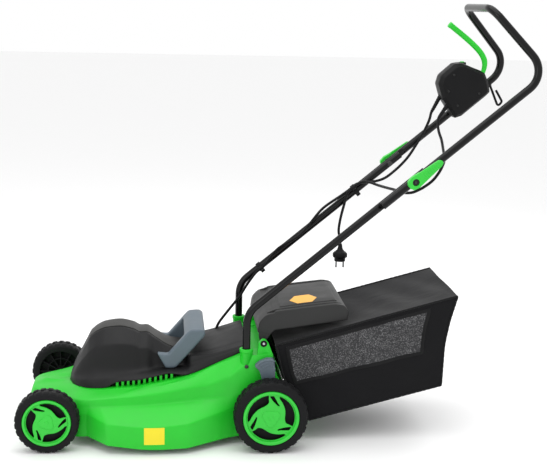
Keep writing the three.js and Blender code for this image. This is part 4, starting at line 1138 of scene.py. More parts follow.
@dataclass
class Deck:
    """The moulded deck: skirt, platform, grass channel, sockets, hinge ears and vents."""

    wall: float = 4.2
    rim: tuple[Flat, ...] = ((-20, 120), (40, 123), (66, 126), (95, 127), (130, 129), (215, 136),
        (345, 166), (410, 196), (456, 216), (494, 222), (530, 228))
    rim_half: tuple[float, ...] = (0, 38, 96, 122, 129, 131, 131, 135, 144, 158, 160)
    foot: tuple[Point, ...] = ((-52, 0, 40), (-50, 42, 38), (28, 108, 28), (68, 163, 23), (92, 170, 26),
        (142, 222, 22), (240, 232, 14), (330, 228, 15), (420, 178, 19), (446, 168, 20), (600, 165, 30))
    skirt: tuple[Point, ...] = ((-56, 0, 80), (-54, 44, 80), (26, 112, 80), (68, 165, 82), (92, 172, 82),
        (140, 226, 76), (240, 236, 70), (330, 232, 76), (421, 180, 90), (446, 169, 95), (587, 165, 78))
    ledge: tuple[Point, ...] = ((-55, 0, 92), (-53, 44, 92), (27, 111, 93), (68, 161, 95), (96, 168, 98),
        (124, 170, 100), (240, 164, 102), (360, 160, 112), (430, 166, 120), (456, 168, 127),
        (572, 165, 112))
    crease: tuple[Point, ...] = ((-50, 0, 108), (-48, 42, 108), (30, 108, 110), (68, 156, 114),
        (98, 167, 116), (130, 167, 118), (212, 165, 123), (375, 163, 148), (430, 164, 168), (456, 165, 190),
        (542, 165, 182))
    soft: tuple[int, ...] = (0, 1, 2, 3, 6, 9)
    vent_count: int = 11
    vent_pitch: float = 13.2
    vent_rise: float = 0.16
    vent_rib: Flat = (6.5, 17.5)
    parts: tuple[str, ...] = ("deck_nose", "deck_left_side", "deck_right_side", "deck_platform", "deck_rear")

    def lines(self) -> list[list[Point]]:
        """Half outlines from the skirt's foot to the rim, smooth along their length."""
        rim = tuple((x, half, z) for (x, z), half in zip(self.rim, self.rim_half))
        return [flowing(ring, self.soft, 9) for ring in (self.foot, self.skirt, self.ledge, self.crease, rim)]

    @staticmethod
    def section(column: Sequence[Point]) -> list[Point]:
        """One upright section of the wall, with points close to its turns so that they can be eased."""
        foot, skirt, ledge, crease, rim = (Vector(p) for p in column)
        path = [foot, foot.lerp(skirt, 0.5), skirt.lerp(foot, 0.05), skirt, skirt.lerp(ledge, 0.06),
            ledge.lerp(skirt, 0.07), ledge, ledge.lerp(crease, 0.14), crease.lerp(ledge, 0.12), crease,
            crease.lerp(rim, 0.12), crease.lerp(rim, 0.6), rim]
        eased = list(path)
        for i in (3, 6, 9):
            eased[i] = (path[i - 1] + path[i] * 2 + path[i + 1]) / 4
        return [tuple(p) for p in eased]

    def columns(self) -> list[list[Point]]:
        """The wall's sections all the way round, from the left rear past the nose to the right rear."""
        return both_halves([self.section(column) for column in zip(*self.lines())])

    def skin(self) -> Piece:
        """The outer wall and the rear panel, as one sheet that is then given its thickness inwards."""
        around = self.columns()
        left, right = around[0], around[-1]
        panel = [[between(a, b, k / 12) for a, b in zip(right, left)] for k in range(1, 12)]
        skin = Bench.surface([*around, *panel, around[0]])
        return Bench.modify(skin, "SOLIDIFY", thickness=self.wall * MM, offset=-1.0, use_even_offset=True,
            thickness_clamp=0.8)

    def top(self) -> Piece:
        """The narrow shelf between the rim and the hood's foot, and the tray ahead of the flap."""
        rim = self.lines()[-1]
        inner = [(max(x, 64.0), min(y, 20 + (x - 64) * 1.4 if x < 120 else 100.0), z) for x, y, z in rim]
        rows = [[between(a, (b[0], max(b[1], 0.0), b[2] - 1.5), share) for a, b in zip(rim, inner)]
            for share in (0.0, 0.06, 0.5, 1.0)]
        shelf = Bench.surface(both_halves(list(zip(*rows))))
        return Bench.thicken(shelf, 3.6, -1.0)

    def tray(self) -> Piece:
        """The flat part ahead of the flap's hinge, between the two sockets."""
        return Bench.plate([(458, 206), (500, 211), (528, 216), (540, 184), (544, 184), (531, 224.5),
            (494, 219), (458, 213)], -150, 150, 1.0)

    def vents(self) -> Piece:
        """Upright ribs in the opening under the hood's raised lower edge."""
        ribs = []
        for side in Side:
            y = side.span(102, 115.5)
            for k in range(self.vent_count):
                x = 158 + k * self.vent_pitch
                low = 124 + (x - 152) * self.vent_rise
                ribs.append(Bench.box((x, y[0], low), (x + self.vent_rib[0], y[1], low + self.vent_rib[1]),
                    1.2))
        return Bench.join(*ribs)

    def details(self) -> list[Piece]:
        """Collars of the handle's sockets, hinge ears, bosses on the skirt, and ribs on the nose."""
        pieces = []
        ear = rounded([(496, 0, 206), (501, 0, 252), (513, 0, 265), (525, 0, 251), (536, 0, 222),
            (536, 0, 206)], (5, 12, 5, 3), 6)
        for side in Side:
            y = side.span(145.6, 158.4)
            pieces.append(Bench.plate([(x, z) for x, _, z in ear], y[0], y[1], 1.6))
            centre = (472.0, side.value * 149.0, 0.0)
            pieces.append(Bench.turned([(10.0, 150), (15.2, 150), (15.2, 228), (16.6, 229), (16.6, 236),
                (15.8, 237), (10.0, 237), (10.0, 150)], centre, UP, 48, 0.7))
            pieces.append(Bench.turned([(0, -2.6), (13.5, -2.6), (15, -1.2), (15, 0.6), (10, 2.4),
                (0, 2.4)], (30.0, side.value * 111.2, 65.0), Vector((-0.64, side.value * 0.76, 0)), 32))
        return pieces

    def build(self) -> None:
        """Makes the deck."""
        skin = self.skin()
        opening = Bench.box((500, -130, 98), (640, 130, 210), 6.0, 3)
        Bench.cut(skin, opening)
        under = [Bench.from_node("deck_platform", 0.6)]
        for side in Side:
            y = side.span(134, 137.5)
            under.append(Bench.plate([(440, 60), (440, 185), (505, 212), (530, 212), (580, 62)], y[0], y[1],
                0.8))
        under.append(Bench.plate([(438, 163), (506, 207), (520, 207), (520, 211), (505, 211.5), (438, 171)],
            -137, 137, 0.6))
        deck = Bench.join(skin, self.top(), self.tray(), self.vents(), *self.details(), *under)
        Bench.settle(deck, "deck_moulding", Looks.GREEN, Body.DECK, self.parts, 32)
        self.trim()

    def trim(self) -> None:
        """Painted shade sheets behind the vents, dark rings round the hinge's pin, and a plain label on the
        left side of the skirt.
        """
        # Black sheets just inside the vent ribs: painted shade for the dark space behind the vents.
        shade_sheets = []
        for side in Side:
            y = side.span(99, 101)
            shade_sheets.append(Bench.plate([(150, 118), (302, 140), (302, 172), (150, 150)], y[0], y[1]))
        Bench.settle(Bench.join(*shade_sheets), "vent_painted_shade", Looks.BLACK, Body.DECK)
        rings = [Bench.turned([(3.4, -1.2), (7.6, -1.2), (8.2, -0.6), (8.2, 0.8), (7.2, 1.8), (3.4, 1.8),
            (3.4, -1.2)], (513, side.value * 158.6, 251), side.out, 36) for side in Side]
        Bench.settle(Bench.join(*rings), "hinge_rings", Looks.BLACK, Body.DECK)
        rows = []
        for z in (27, 38, 50, 62, 70):
            rows.append([self.on_skirt(x, z, 0.35) for x in (228, 240, 252, 264, 276)])
        label = Bench.surface(rows)
        Bench.thicken(label, 0.3)
        Bench.settle(label, "skirt_label", Looks.YELLOW, Body.DECK)

    def on_skirt(self, x: float, z: float, lift: float) -> Point:
        """A point just outside the left face of the skirt."""
        lines = self.lines()
        foot = min(lines[0], key=lambda p: abs(p[0] - x) + (0 if p[1] > 100 else 500))
        skirt = min(lines[1], key=lambda p: abs(p[0] - x) + (0 if p[1] > 100 else 500))
        share = (z - foot[2]) / (skirt[2] - foot[2])
        return (x, -(foot[1] + (skirt[1] - foot[1]) * share) - lift, z)


@dataclass(frozen=True)
class Station:
    """One cross-section of the hood: half-widths and heights from its foot up to its ridge."""

    x: float
    foot: float
    ledge: Flat
    waist: Flat
    shoulder: Flat
    ridge: float
    top: float


@dataclass
class Hood:
    """The motor hood with its narrow waist, its ridge and the slots beside it."""

    stations: tuple[Station, ...] = (Station(42, 34, (32, 128), (30, 129), (27, 130), 14, 132), Station(52,
        70, (66, 138), (56, 143), (46, 150), 26, 160), Station(66, 92, (88, 141), (70, 149), (55, 172), 32,
        186), Station(80, 104, (100, 144), (78, 154), (62, 194), 34, 216), Station(92, 111, (106, 146),
        (84, 157), (68, 212), 36, 241), Station(108, 115, (109, 148), (89, 160), (75, 226), 38, 255),
        Station(130, 117, (110, 150), (92, 162), (80, 234), 39, 266), Station(164, 118, (111, 153),
        (94, 164), (83, 238), 40, 271), Station(198, 119, (110, 157), (92, 166), (80, 234), 40, 264),
        Station(216, 119, (108, 159), (88, 166), (78, 229), 40, 259), Station(230, 119, (107, 161),
        (86, 167), (76, 224), 40, 255), Station(252, 120, (104, 165), (74, 167), (71, 206), 41, 238),
        Station(286, 120, (104, 167), (73, 168), (70, 192), 46, 214), Station(324, 121, (106, 172),
        (73, 174), (71, 194), 56, 205), Station(340, 121, (114, 178), (106, 184), (100, 203), 76, 207),
        Station(382, 122, (117, 197), (111, 202), (106, 209), 80, 213), Station(440, 122, (118, 218),
        (114, 221), (109, 225), 82, 230), Station(456, 121, (118, 224), (114, 227), (109, 230), 82, 235),
        Station(474, 120, (117, 228), (114, 231), (110, 235), 82, 240),)

    saddle: tuple[tuple[float, ...], ...] = ((66, 92, 130, 164, 198, 216, 230, 252, 286),
        (0, 6, 8, 9, 9, 12.5, 8, 4, 0))

    def foot_height(self, x: float) -> float:
        """Height of the deck's rim under the hood, raised over the vents."""
        deck = Deck()
        base = float(np.interp(x, [p[0] for p in deck.rim], [p[1] for p in deck.rim])) + 0.6
        return base + float(np.interp(x, (146, 158, 292, 316), (0, 12.5, 12.5, 0)))

    def half(self, s: Station) -> list[Flat]:
        """A station's half outline from its foot to the ridge."""
        base = self.foot_height(s.x)
        drop = float(np.interp(s.x, *self.saddle))
        top, ridge = s.top - drop, s.ridge
        shoulder = Vector((s.shoulder[0], s.shoulder[1] - drop))
        waist, ledge = Vector(s.waist), Vector(s.ledge)
        ledge.y = max(ledge.y, base + 5)
        edge = Vector((ridge, top - 2.4))
        path = [Vector((s.foot, base)), Vector((s.foot - 0.4, base + 2.5)), ledge, ledge.lerp(waist, 0.2),
            waist.lerp(ledge, 0.25), waist.lerp(shoulder, 0.12), waist.lerp(shoulder, 0.5)
            + Vector((1.5, 0)), shoulder.lerp(waist, 0.1), shoulder, shoulder.lerp(edge, 0.12),
            edge.lerp(shoulder, 0.1), edge, Vector((ridge - 2.5, top - 1.2)), Vector((0, top))]
        return [tuple(p) for p in path]

    def shell(self) -> Piece:
        """The hood's skin, smooth along the mower, with a firm foot and ridge."""
        keys = np.array([[(s.x, y, z) for y, z in self.half(s)] for s in self.stations], float)
        xs = keys[:, 0, 0]
        fine = np.unique(np.concatenate([np.linspace(a, b, 6) for a, b in zip(xs, xs[1:])]))
        rows = np.empty((len(fine), keys.shape[1], 3))
        for j in range(keys.shape[1]):
            for k in range(1, 3):
                rows[:, j, k] = self.eased(xs, keys[:, j, k], fine)
            rows[:, j, 0] = fine
        sheet = []
        for row in rows:
            right = [tuple(p) for p in row]
            sheet.append([*right, *[(x, -y, z) for x, y, z in reversed(right[:-1])]])
        front = [(p[0] - 0.5, p[1] * 0.98, max(p[2] - 6, self.foot_height(42))) for p in sheet[0]]
        rear = [(p[0] + 1.5, p[1] * 0.99, p[2] - 1.5) for p in sheet[-1]]
        low_rear = [(p[0] + 2.0, p[1] * 0.99, min(p[2] - 1.5, 226.0)) for p in sheet[-1]]
        skin = Bench.surface([front, *sheet, rear, low_rear])
        Bench.modify(skin, "SUBSURF", levels=1, render_levels=1)
        return Bench.thicken(skin, 2.6, -1.0)

    @staticmethod
    def eased(xs: np.ndarray, values: np.ndarray, fine: np.ndarray) -> np.ndarray:
        """Values between the stations, without overshoot."""
        slopes = np.diff(values) / np.diff(xs)
        tangents = np.zeros_like(values)
        for i in range(1, len(values) - 1):
            if slopes[i - 1] * slopes[i] > 0:
                tangents[i] = 2 * slopes[i - 1] * slopes[i] / (slopes[i - 1] + slopes[i])
        tangents[0], tangents[-1] = slopes[0], slopes[-1]
        at = np.clip(np.searchsorted(xs, fine, side="right") - 1, 0, len(xs) - 2)
        span = xs[at + 1] - xs[at]
        return hermite((fine - xs[at]) / span, values[at], values[at + 1], span * tangents[at],
            span * tangents[at + 1])

    def build(self) -> None:
        """Makes the hood with its ridge panel."""
        shell = self.shell()
        Bench.settle(shell, "hood_shell", Looks.HOOD, Body.DECK, ["motor_hood"], 34)
        slots = []
        for side in Side:
            for x, y in ((392.0, 97.0), (404.0, 97.0), (70.0, 74.0)):
                low = Bench.drop(shell, x, side.value * y)
                slots.append(Bench.box((x, side.value * y - 1.2, low[2] - 2),
                    (x + 8, side.value * y + 1.2, low[2] + 0.5), 0.4))
        Bench.settle(Bench.join(*slots), "hood_slots", Looks.BLACK, Body.DECK)
        self.ridge_panel()

    def ridge_panel(self) -> None:
        """The slightly lighter panel along the top of the ridge."""
        keys = [s for s in self.stations if 88 <= s.x <= 330]
        xs = np.array([s.x for s in keys], float)
        fine = np.linspace(xs[0], xs[-1], 60)
        top = self.eased(xs, np.array([s.top - np.interp(s.x, *self.saddle) for s in keys], float), fine)
        half = self.eased(xs, np.array([s.ridge for s in keys], float), fine) - 7
        rows = [[(x, h * w, z + 0.7 - 1.4 * w * w) for w in (-1, -0.9, -0.5, 0, 0.5, 0.9, 1)] for x, h,
            z in zip(fine, half, top)]
        panel = Bench.surface(rows)
        Bench.thicken(panel, 1.4)
        Bench.bevel(panel, 0.4, 2, 60)
        Bench.settle(panel, "hood_ridge_panel", Looks.HOOD_RIDGE, Body.DECK)


@dataclass
class CarryHandle:
    """The grey handle that bridges the hood."""

    leg: tuple[Flat, ...] = ((257, 209), (284, 206), (332, 262), (340, 268), (366, 269), (375, 262),
        (374, 252), (303, 171), (279, 170))
    grip: tuple[Flat, ...] = ((322, 250), (332, 262), (340, 268), (366, 269), (375, 262), (374, 252),
        (364, 240), (340, 238))

    def build(self) -> None:
        """Makes the handle as one moulding."""
        legs = []
        for side in Side:
            line = corners_cut(self.leg, (3, 12, 9, 9, 8, 8, 10, 5), 5)
            legs.append(Bench.plate(line, *side.span(75.5, 97)))
        grip = Bench.plate(corners_cut(self.grip, (9, 9, 9, 8, 8, 9, 8), 5), -86, 86)
        Bench.join(grip, *legs)
        Bench.melt(grip, 1.5, 45, 0.3)
        Bench.settle(grip, "carry_handle_moulding", Looks.GREY, Body.DECK, ["carry_handle"], 40)


# ---------------------------------------------------------------- wheels and running gear


@dataclass(frozen=True)
class WheelPlan:
    """Sizes of a wheel, in millimetres, and how far its cap's pattern is turned, in degrees."""

    end: str
    radius: float
    width: float
    x: float
    outer_y: float
    cap: float
    turn: float

    @property
    def half(self) -> float:
        """Half the wheel's width."""
        return self.width / 2


FRONT = WheelPlan("front", 76.0, 44.0, 0.0, 215.0, 57.0, 40.0)
REAR = WheelPlan("rear", 89.0, 48.0, 528.0, 236.0, 67.0, 0.0)


@dataclass
class Wheel:
    """A lugged tyre and the green cap that covers its middle."""

    plan: WheelPlan
    side: Side
    lugs: int = 26
    comma: tuple[Flat, ...] = ((0.84, 97), (0.70, 98), (0.58, 99), (0.51, 108), (0.49, 120), (0.52, 136),
        (0.57, 150), (0.66, 171), (0.77, 188))

    @property
    def centre(self) -> Point:
        """The wheel's centre."""
        return (self.plan.x, self.side.value * (self.plan.outer_y - self.plan.half), self.plan.radius)

    def around(self, count: int, start: float = 0.0) -> list[Matrix]:
        """Equal turns about the wheel's axle."""
        middle = Matrix.Translation(Bench.datum.at(*self.centre))
        return [middle @ Matrix.Rotation(start + 2 * math.pi * k / count, 4, "Y") @ middle.inverted()
            for k in range(count)]

    def tyre(self) -> Piece:
        """The tyre with its staggered lugs, and the ribbed disc inside it."""
        r, half, cap = self.plan.radius, self.plan.half, self.plan.cap
        profile = [(5.3, -10), (13.2, -10), (14, -9.2), (14, -3), (cap - 2, -3), (cap - 2, -half + 2),
            (cap - 0.8, -half + 0.7), (r - 10, -half), (r - 6, -half + 0.8), (r - 3.4, -half + 3.5),
            (r - 2.4, -half + 8), (r - 2.2, 0), (r - 2.4, half - 8), (r - 3.4, half - 3.5),
            (r - 6, half - 0.8), (r - 10, half), (cap + 2.4, half - 0.3), (cap + 1.4, half - 1.2),
            (cap + 1.2, 4), (14, 4), (14, 9.2), (13.2, 10), (5.3, 10), (5.3, -10)]
        tyre = Bench.turned(profile, self.centre, self.side.out, 96)
        x, y, z = self.centre
        sign = self.side.value
        lug = [(1.6, r - 5), (2.0, r - 0.5), (half - 6.5, r - 0.5), (half - 2.4, r - 3.2),
            (half - 0.2, r - 8.5), (half - 3, r - 10)]
        rows = []
        for first, start in ((1, 0.0), (-1, math.pi / self.lugs)):
            width = 4.3 * r * math.pi / 180 * 2
            outline = [(x - width / 2, y + sign * first * h, z + rise) for h, rise in lug]
            block = Bench.slab(outline, (width, 0, 0), 1.0, 2)
            rows.append(Bench.copies(block, self.around(self.lugs, start)))
        ribs = []
        y_in, y_out = sorted((y - sign * (half - 5), y - sign * 2.6))
        rib = Bench.box((x + 13, y_in, z - 1.3), (x + cap - 1.5, y_out, z + 1.3), 0.5, 1)
        ribs.append(Bench.copies(rib, self.around(12)))
        ring_r = cap * 0.6
        ribs.append(Bench.turned([(ring_r - 1.3, -half + 7), (ring_r + 1.3, -half + 7),
            (ring_r + 1.3, -2.6), (ring_r - 1.3, -2.6), (ring_r - 1.3, -half + 7)], self.centre,
            self.side.out, 72))
        return Bench.join(tyre, *rows, *ribs)

    def cap_face(self, depth: float) -> Matrix:
        """From the cap's own plane, seen from outside, to the frame."""
        out = self.side.out
        face = axes(Vector((-self.side.value, 0, 0)), UP, out,
            Bench.datum.at(*(Vector(self.centre) + out * depth)))
        return face @ Matrix.Rotation(math.radians(self.plan.turn), 4, "Z") @ Matrix.Scale(MM, 4)

    def pattern(self) -> list[list[Flat]]:
        """The cap's rim and the openings in its face."""
        r = self.plan.cap

        def spot(share: float, degrees: float) -> Flat:
            """A place on the cap, by its share of the radius and its angle."""
            return (r * share * math.cos(math.radians(degrees)), r * share * math.sin(math.radians(degrees)))

        loops = [[spot(0.97, 360 * k / 120) for k in range(120)]]
        for third in (0, 120, 240):
            keys = [(spot(s, a + third)[0], spot(s, a + third)[1], 0.0) for s, a in self.comma]
            side = [(x, y) for x, y, _ in smooth_line(keys, 1.2)]
            arc = [spot(0.84, third + 190 - 93 * k / 24) for k in range(25)]
            loops.append([*side, *arc[:-1]])
            slot = [(0.81, 84), (0.70, 77), (0.60, 68), (0.53, 56), (0.50, 60), (0.55, 75), (0.64, 86),
                (0.74, 92), (0.81, 94)]
            keys = [(*spot(s, a + third), 0.0) for s, a in slot]
            loops.append([(x, y) for x, y, _ in smooth_line(keys, 1.2)])
        return loops

    def hubcap(self) -> Piece:
        """The cap: a raised rim, an open-worked face and a three-cornered middle."""
        r, half = self.plan.cap, self.plan.half
        face = Bench.cut_sheet(self.pattern(), 3.6, 0.8, self.cap_face(16.2))
        rim = Bench.turned([(r * 0.86, 15), (r * 0.86, 19), (r * 0.885, half - 0.8),
            (r * 0.905, half + 0.7), (r * 0.925, half + 1), (r * 0.965, half + 1), (r * 0.99, half + 0.2),
            (r, half - 1.4), (r, 7), (r - 2.2, 7), (r - 2.2, 15), (r * 0.86, 15)], self.centre,
            self.side.out, 96)
        corners = []
        for k in range(60):
            a = 2 * math.pi * k / 60
            reach = 0.30 * r * (1 + 0.16 * math.cos(3 * (a - math.radians(30))))
            corners.append((reach * math.cos(a), reach * math.sin(a)))
        middle = Bench.cut_sheet([corners], 4.0, 1.5, self.cap_face(17.6))
        dimple = Bench.cut_sheet([[(0.09 * r * math.cos(2 * math.pi * k / 32),
            0.09 * r * math.sin(2 * math.pi * k / 32)) for k in range(32)]], 2.0, 0.8, self.cap_face(19.6))
        return Bench.join(face, rim, middle, dimple)

    def build(self) -> None:
        """Makes the wheel."""
        body = f"{self.plan.end}_{self.side.word}_wheel"
        Bench.settle(self.tyre(), f"{body}_tyre", Looks.TYRE, body, [body], 38)
        cap = f"{self.plan.end}_{self.side.word}_hubcap"
        Bench.settle(self.hubcap(), f"{cap}_cover", Looks.GREEN_CAP, body, [cap], 38)


@dataclass
class RunningGear:
    """Wheels, cranked axles, link rod and the lever that sets the height."""

    throw: Flat = (-30.0, 11.0)
    link_throw: float = 22.0

    def pivot(self, plan: WheelPlan) -> Flat:
        """Where a cranked axle turns in the deck, as (x, z)."""
        return (plan.x - self.throw[0], plan.radius - self.throw[1])

    def crank(self, plan: WheelPlan, arm_y: float, link_y: float) -> Piece:
        """One cranked axle with its two arms and stubs."""
        px, pz = self.pivot(plan)
        cx, cz = plan.x, plan.radius
        arm = [(px + 9, pz - 4), (px + 6, pz + 7), (cx - 2, cz + 8), (cx - 9, cz + 3), (cx - 6, cz - 7),
            (px + 3, pz - 8)]
        end = plan.outer_y - plan.width / 2 + 12.6
        pieces = [Bench.rod((px, -arm_y - 4, pz), (px, arm_y + 4, pz), 5.0, 32, 0.8)]
        for side in Side:
            y = side.span(arm_y, arm_y + 7)
            pieces.append(Bench.plate(arm, y[0], y[1], 1.2))
            pieces.append(Bench.rod((cx, side.value * arm_y, cz), (cx, side.value * end, cz), 5.0, 32, 0.8))
            pieces.append(Bench.turned([(0, end - 2), (8.2, end - 2), (8.5, end - 1.6), (8.2, end - 0.6),
                (0, end - 0.6)], (cx, 0, cz), side.out, 32))
        link = [(px - 7, pz - 5), (px + 7, pz - 5), (px + 5, pz + self.link_throw + 4),
            (px - 5, pz + self.link_throw + 4)]
        pieces.append(Bench.plate(link, -link_y + 3.6, -link_y + 7.6, 0.9))
        pieces.append(Bench.rod((px, -link_y - 5, pz + self.link_throw),
            (px, -link_y + 5, pz + self.link_throw), 2.8, 24, 0.5))
        return Bench.join(*pieces)

    def link_rod(self) -> Piece:
        """The bent rod between the two axles, with an eye at each end."""
        (fx, fz), (rx, rz) = self.pivot(FRONT), self.pivot(REAR)
        front, rear = fz + self.link_throw, rz + self.link_throw
        line = evenly(rounded([(rx - 5, -148, rear), (150, -148, 91.5), (66, -70, 88),
            (fx + 5, -70, front)], (18, 18), 8), 4.0)
        rod = Bench.tube(line, 2.8, 16)
        ring = [(3.3, -3), (6.0, -3), (6.4, -2.6), (6.4, 2.6), (6.0, 3), (3.3, 3), (3.3, -3)]
        eyes = [Bench.turned(ring, (x, y, z), ACROSS, 36) for x, y,
            z in ((rx, -148, rear), (fx, -70, front))]
        return Bench.join(rod, *eyes)

    def height_lever(self) -> None:
        """The lever beside the rear wheel, and its ribbed grip."""
        px, pz = self.pivot(REAR)
        arm = corners_cut([(px - 10, pz - 8), (px + 10, pz - 6), (px + 8, pz + 14), (541, 168), (540, 192),
            (508, 192), (507, 168)], (7, 14, 12, 4, 4, 16), 5)
        Bench.settle(Bench.plate(arm, -181, -175.2, 1.0), "height_lever_arm", Looks.BLACK, Body.REAR_CRANK,
            ["height_lever"])
        outline = corners_cut([(508, 168), (539, 168), (540, 192), (536, 222), (518, 221), (502, 214),
            (489, 203), (502, 190)], (5, 14, 7, 5, 5, 5, 16), 5)
        grip = Bench.plate(outline, -186.5, -169, 3.2, 4)
        ridges = []
        for reach in (22, 29, 36):
            arc = [(524 + reach * math.cos(math.radians(a)), -186.6, 182 + reach
                * math.sin(math.radians(a))) for a in range(66, 138, 4)]
            ridges.append(Bench.tube(arc, 1.5, 10))
        Bench.settle(Bench.join(grip, *ridges), "height_lever_grip_cover", Looks.GREY, Body.REAR_CRANK,
            ["height_lever_grip"], 40)

    def build(self) -> None:
        """Makes the wheels and what joins them."""
        for plan in (FRONT, REAR):
            for side in Side:
                Wheel(plan, side).build()
        Bench.settle(self.crank(FRONT, 161, 70), "front_axle_bar", Looks.DARK_STEEL, Body.FRONT_CRANK,
            ["front_axle"])
        Bench.settle(self.crank(REAR, 167.5, 148), "rear_axle_bar", Looks.DARK_STEEL, Body.REAR_CRANK,
            ["rear_axle"])
        Bench.settle(self.link_rod(), "height_rod", Looks.DARK_STEEL, Body.LINK_ROD, ["height_link_rod"])
        self.height_lever()


# ---------------------------------------------------------------- motor, belt and blade


@dataclass
class Drive:
    """What turns the blade: motor, pulleys, belt and spindle, with the blade on its carrier."""

    spindle_x: float = 255.0
    motor_x: float = 160.0
    belt: Flat = (122.0, 134.0)

    def turned(self, profile: Sequence[Flat], x: float, name: str, look: Look, body: Body, node: str,
            segments: int = 72) -> None:
        """Settles one round part that stands upright at x."""
        piece = Bench.turned(profile, (x, 0, 0), UP, segments)
        Bench.bevel(piece, 0.5, 2, 40)
        Bench.settle(piece, name, look, body, [node], 35)

    def grooved(self, radius: float, bore: float) -> list[Flat]:
        """Profile of a flat-belt pulley."""
        low, high = self.belt
        return [(bore, low - 3), (radius + 3, low - 3), (radius + 3, low - 1), (radius - 1, low),
            (radius - 1, high), (radius + 3, high + 1), (radius + 3, high + 2), (bore, high + 2),
            (bore, low - 3)]

    def build(self) -> None:
        """Makes the drive."""
        low, high = self.belt
        can = high + 8.4
        self.turned([(44, can), (50, can), (50, can + 92), (46, can + 94), (6, can + 94), (6, can + 90),
            (44, can + 88), (44, can)], self.motor_x, "motor_housing", Looks.STEEL, Body.DECK, "motor_can",
            96)
        slots = []
        for k in range(18):
            a = 2 * math.pi * k / 18
            x, y = self.motor_x + 33.5 * math.cos(a), 33.5 * math.sin(a)
            slots.append(Bench.rod((x, y, can + 12), (x, y, can + 76), 4.6, 14, 1.2))
        core = Bench.turned([(0, low - 5), (5, low - 5), (5, can + 8), (30, can + 14), (30, can + 74),
            (5, can + 80), (5, can + 100), (0, can + 100)], (self.motor_x, 0, 0), UP, 64)
        Bench.settle(Bench.join(core, *slots), "motor_windings", Looks.COPPER, Body.MOTOR, ["armature"])
        self.turned(self.grooved(12, 5.3), self.motor_x, "small_pulley", Looks.ALUMINIUM, Body.MOTOR,
            "motor_pulley")
        self.turned(self.grooved(45, 8.3), self.spindle_x, "large_pulley", Looks.ALUMINIUM, Body.BLADE,
            "spindle_pulley", 96)
        self.turned([(0, 40), (8, 40), (8, high + 6), (0, high + 6)], self.spindle_x, "blade_shaft",
            Looks.STEEL, Body.BLADE, "spindle")
        self.turned([(8.3, 97), (17, 97), (17, 113), (8.3, 113), (8.3, 97)], self.spindle_x,
            "shaft_bearing", Looks.STEEL, Body.DECK, "spindle_bearing")
        bolt = Bench.turned([(0, 26), (9, 26), (9, 34), (16, 35), (16, 39.6), (0, 39.6)],
            (self.spindle_x, 0, 0), UP, 6)
        Bench.settle(Bench.bevel(bolt, 0.9, 2), "blade_screw", Looks.STEEL, Body.BLADE, ["blade_bolt"])
        for node, name, look, body, bevel in (("motor_bracket", "motor_plate", Looks.STEEL, Body.DECK, 0.4),
                ("drive_belt", "flat_belt", Looks.RUBBER, Body.DECK, 0.0), ("blade_carrier",
                "fan_and_carrier", Looks.BLACK, Body.BLADE, 0.5), ("blade", "cutting_blade", Looks.STEEL,
                Body.BLADE, 0.35)):
            Bench.settle(Bench.from_node(node, bevel), name, look, body, [node])


# ---------------------------------------------------------------- handle


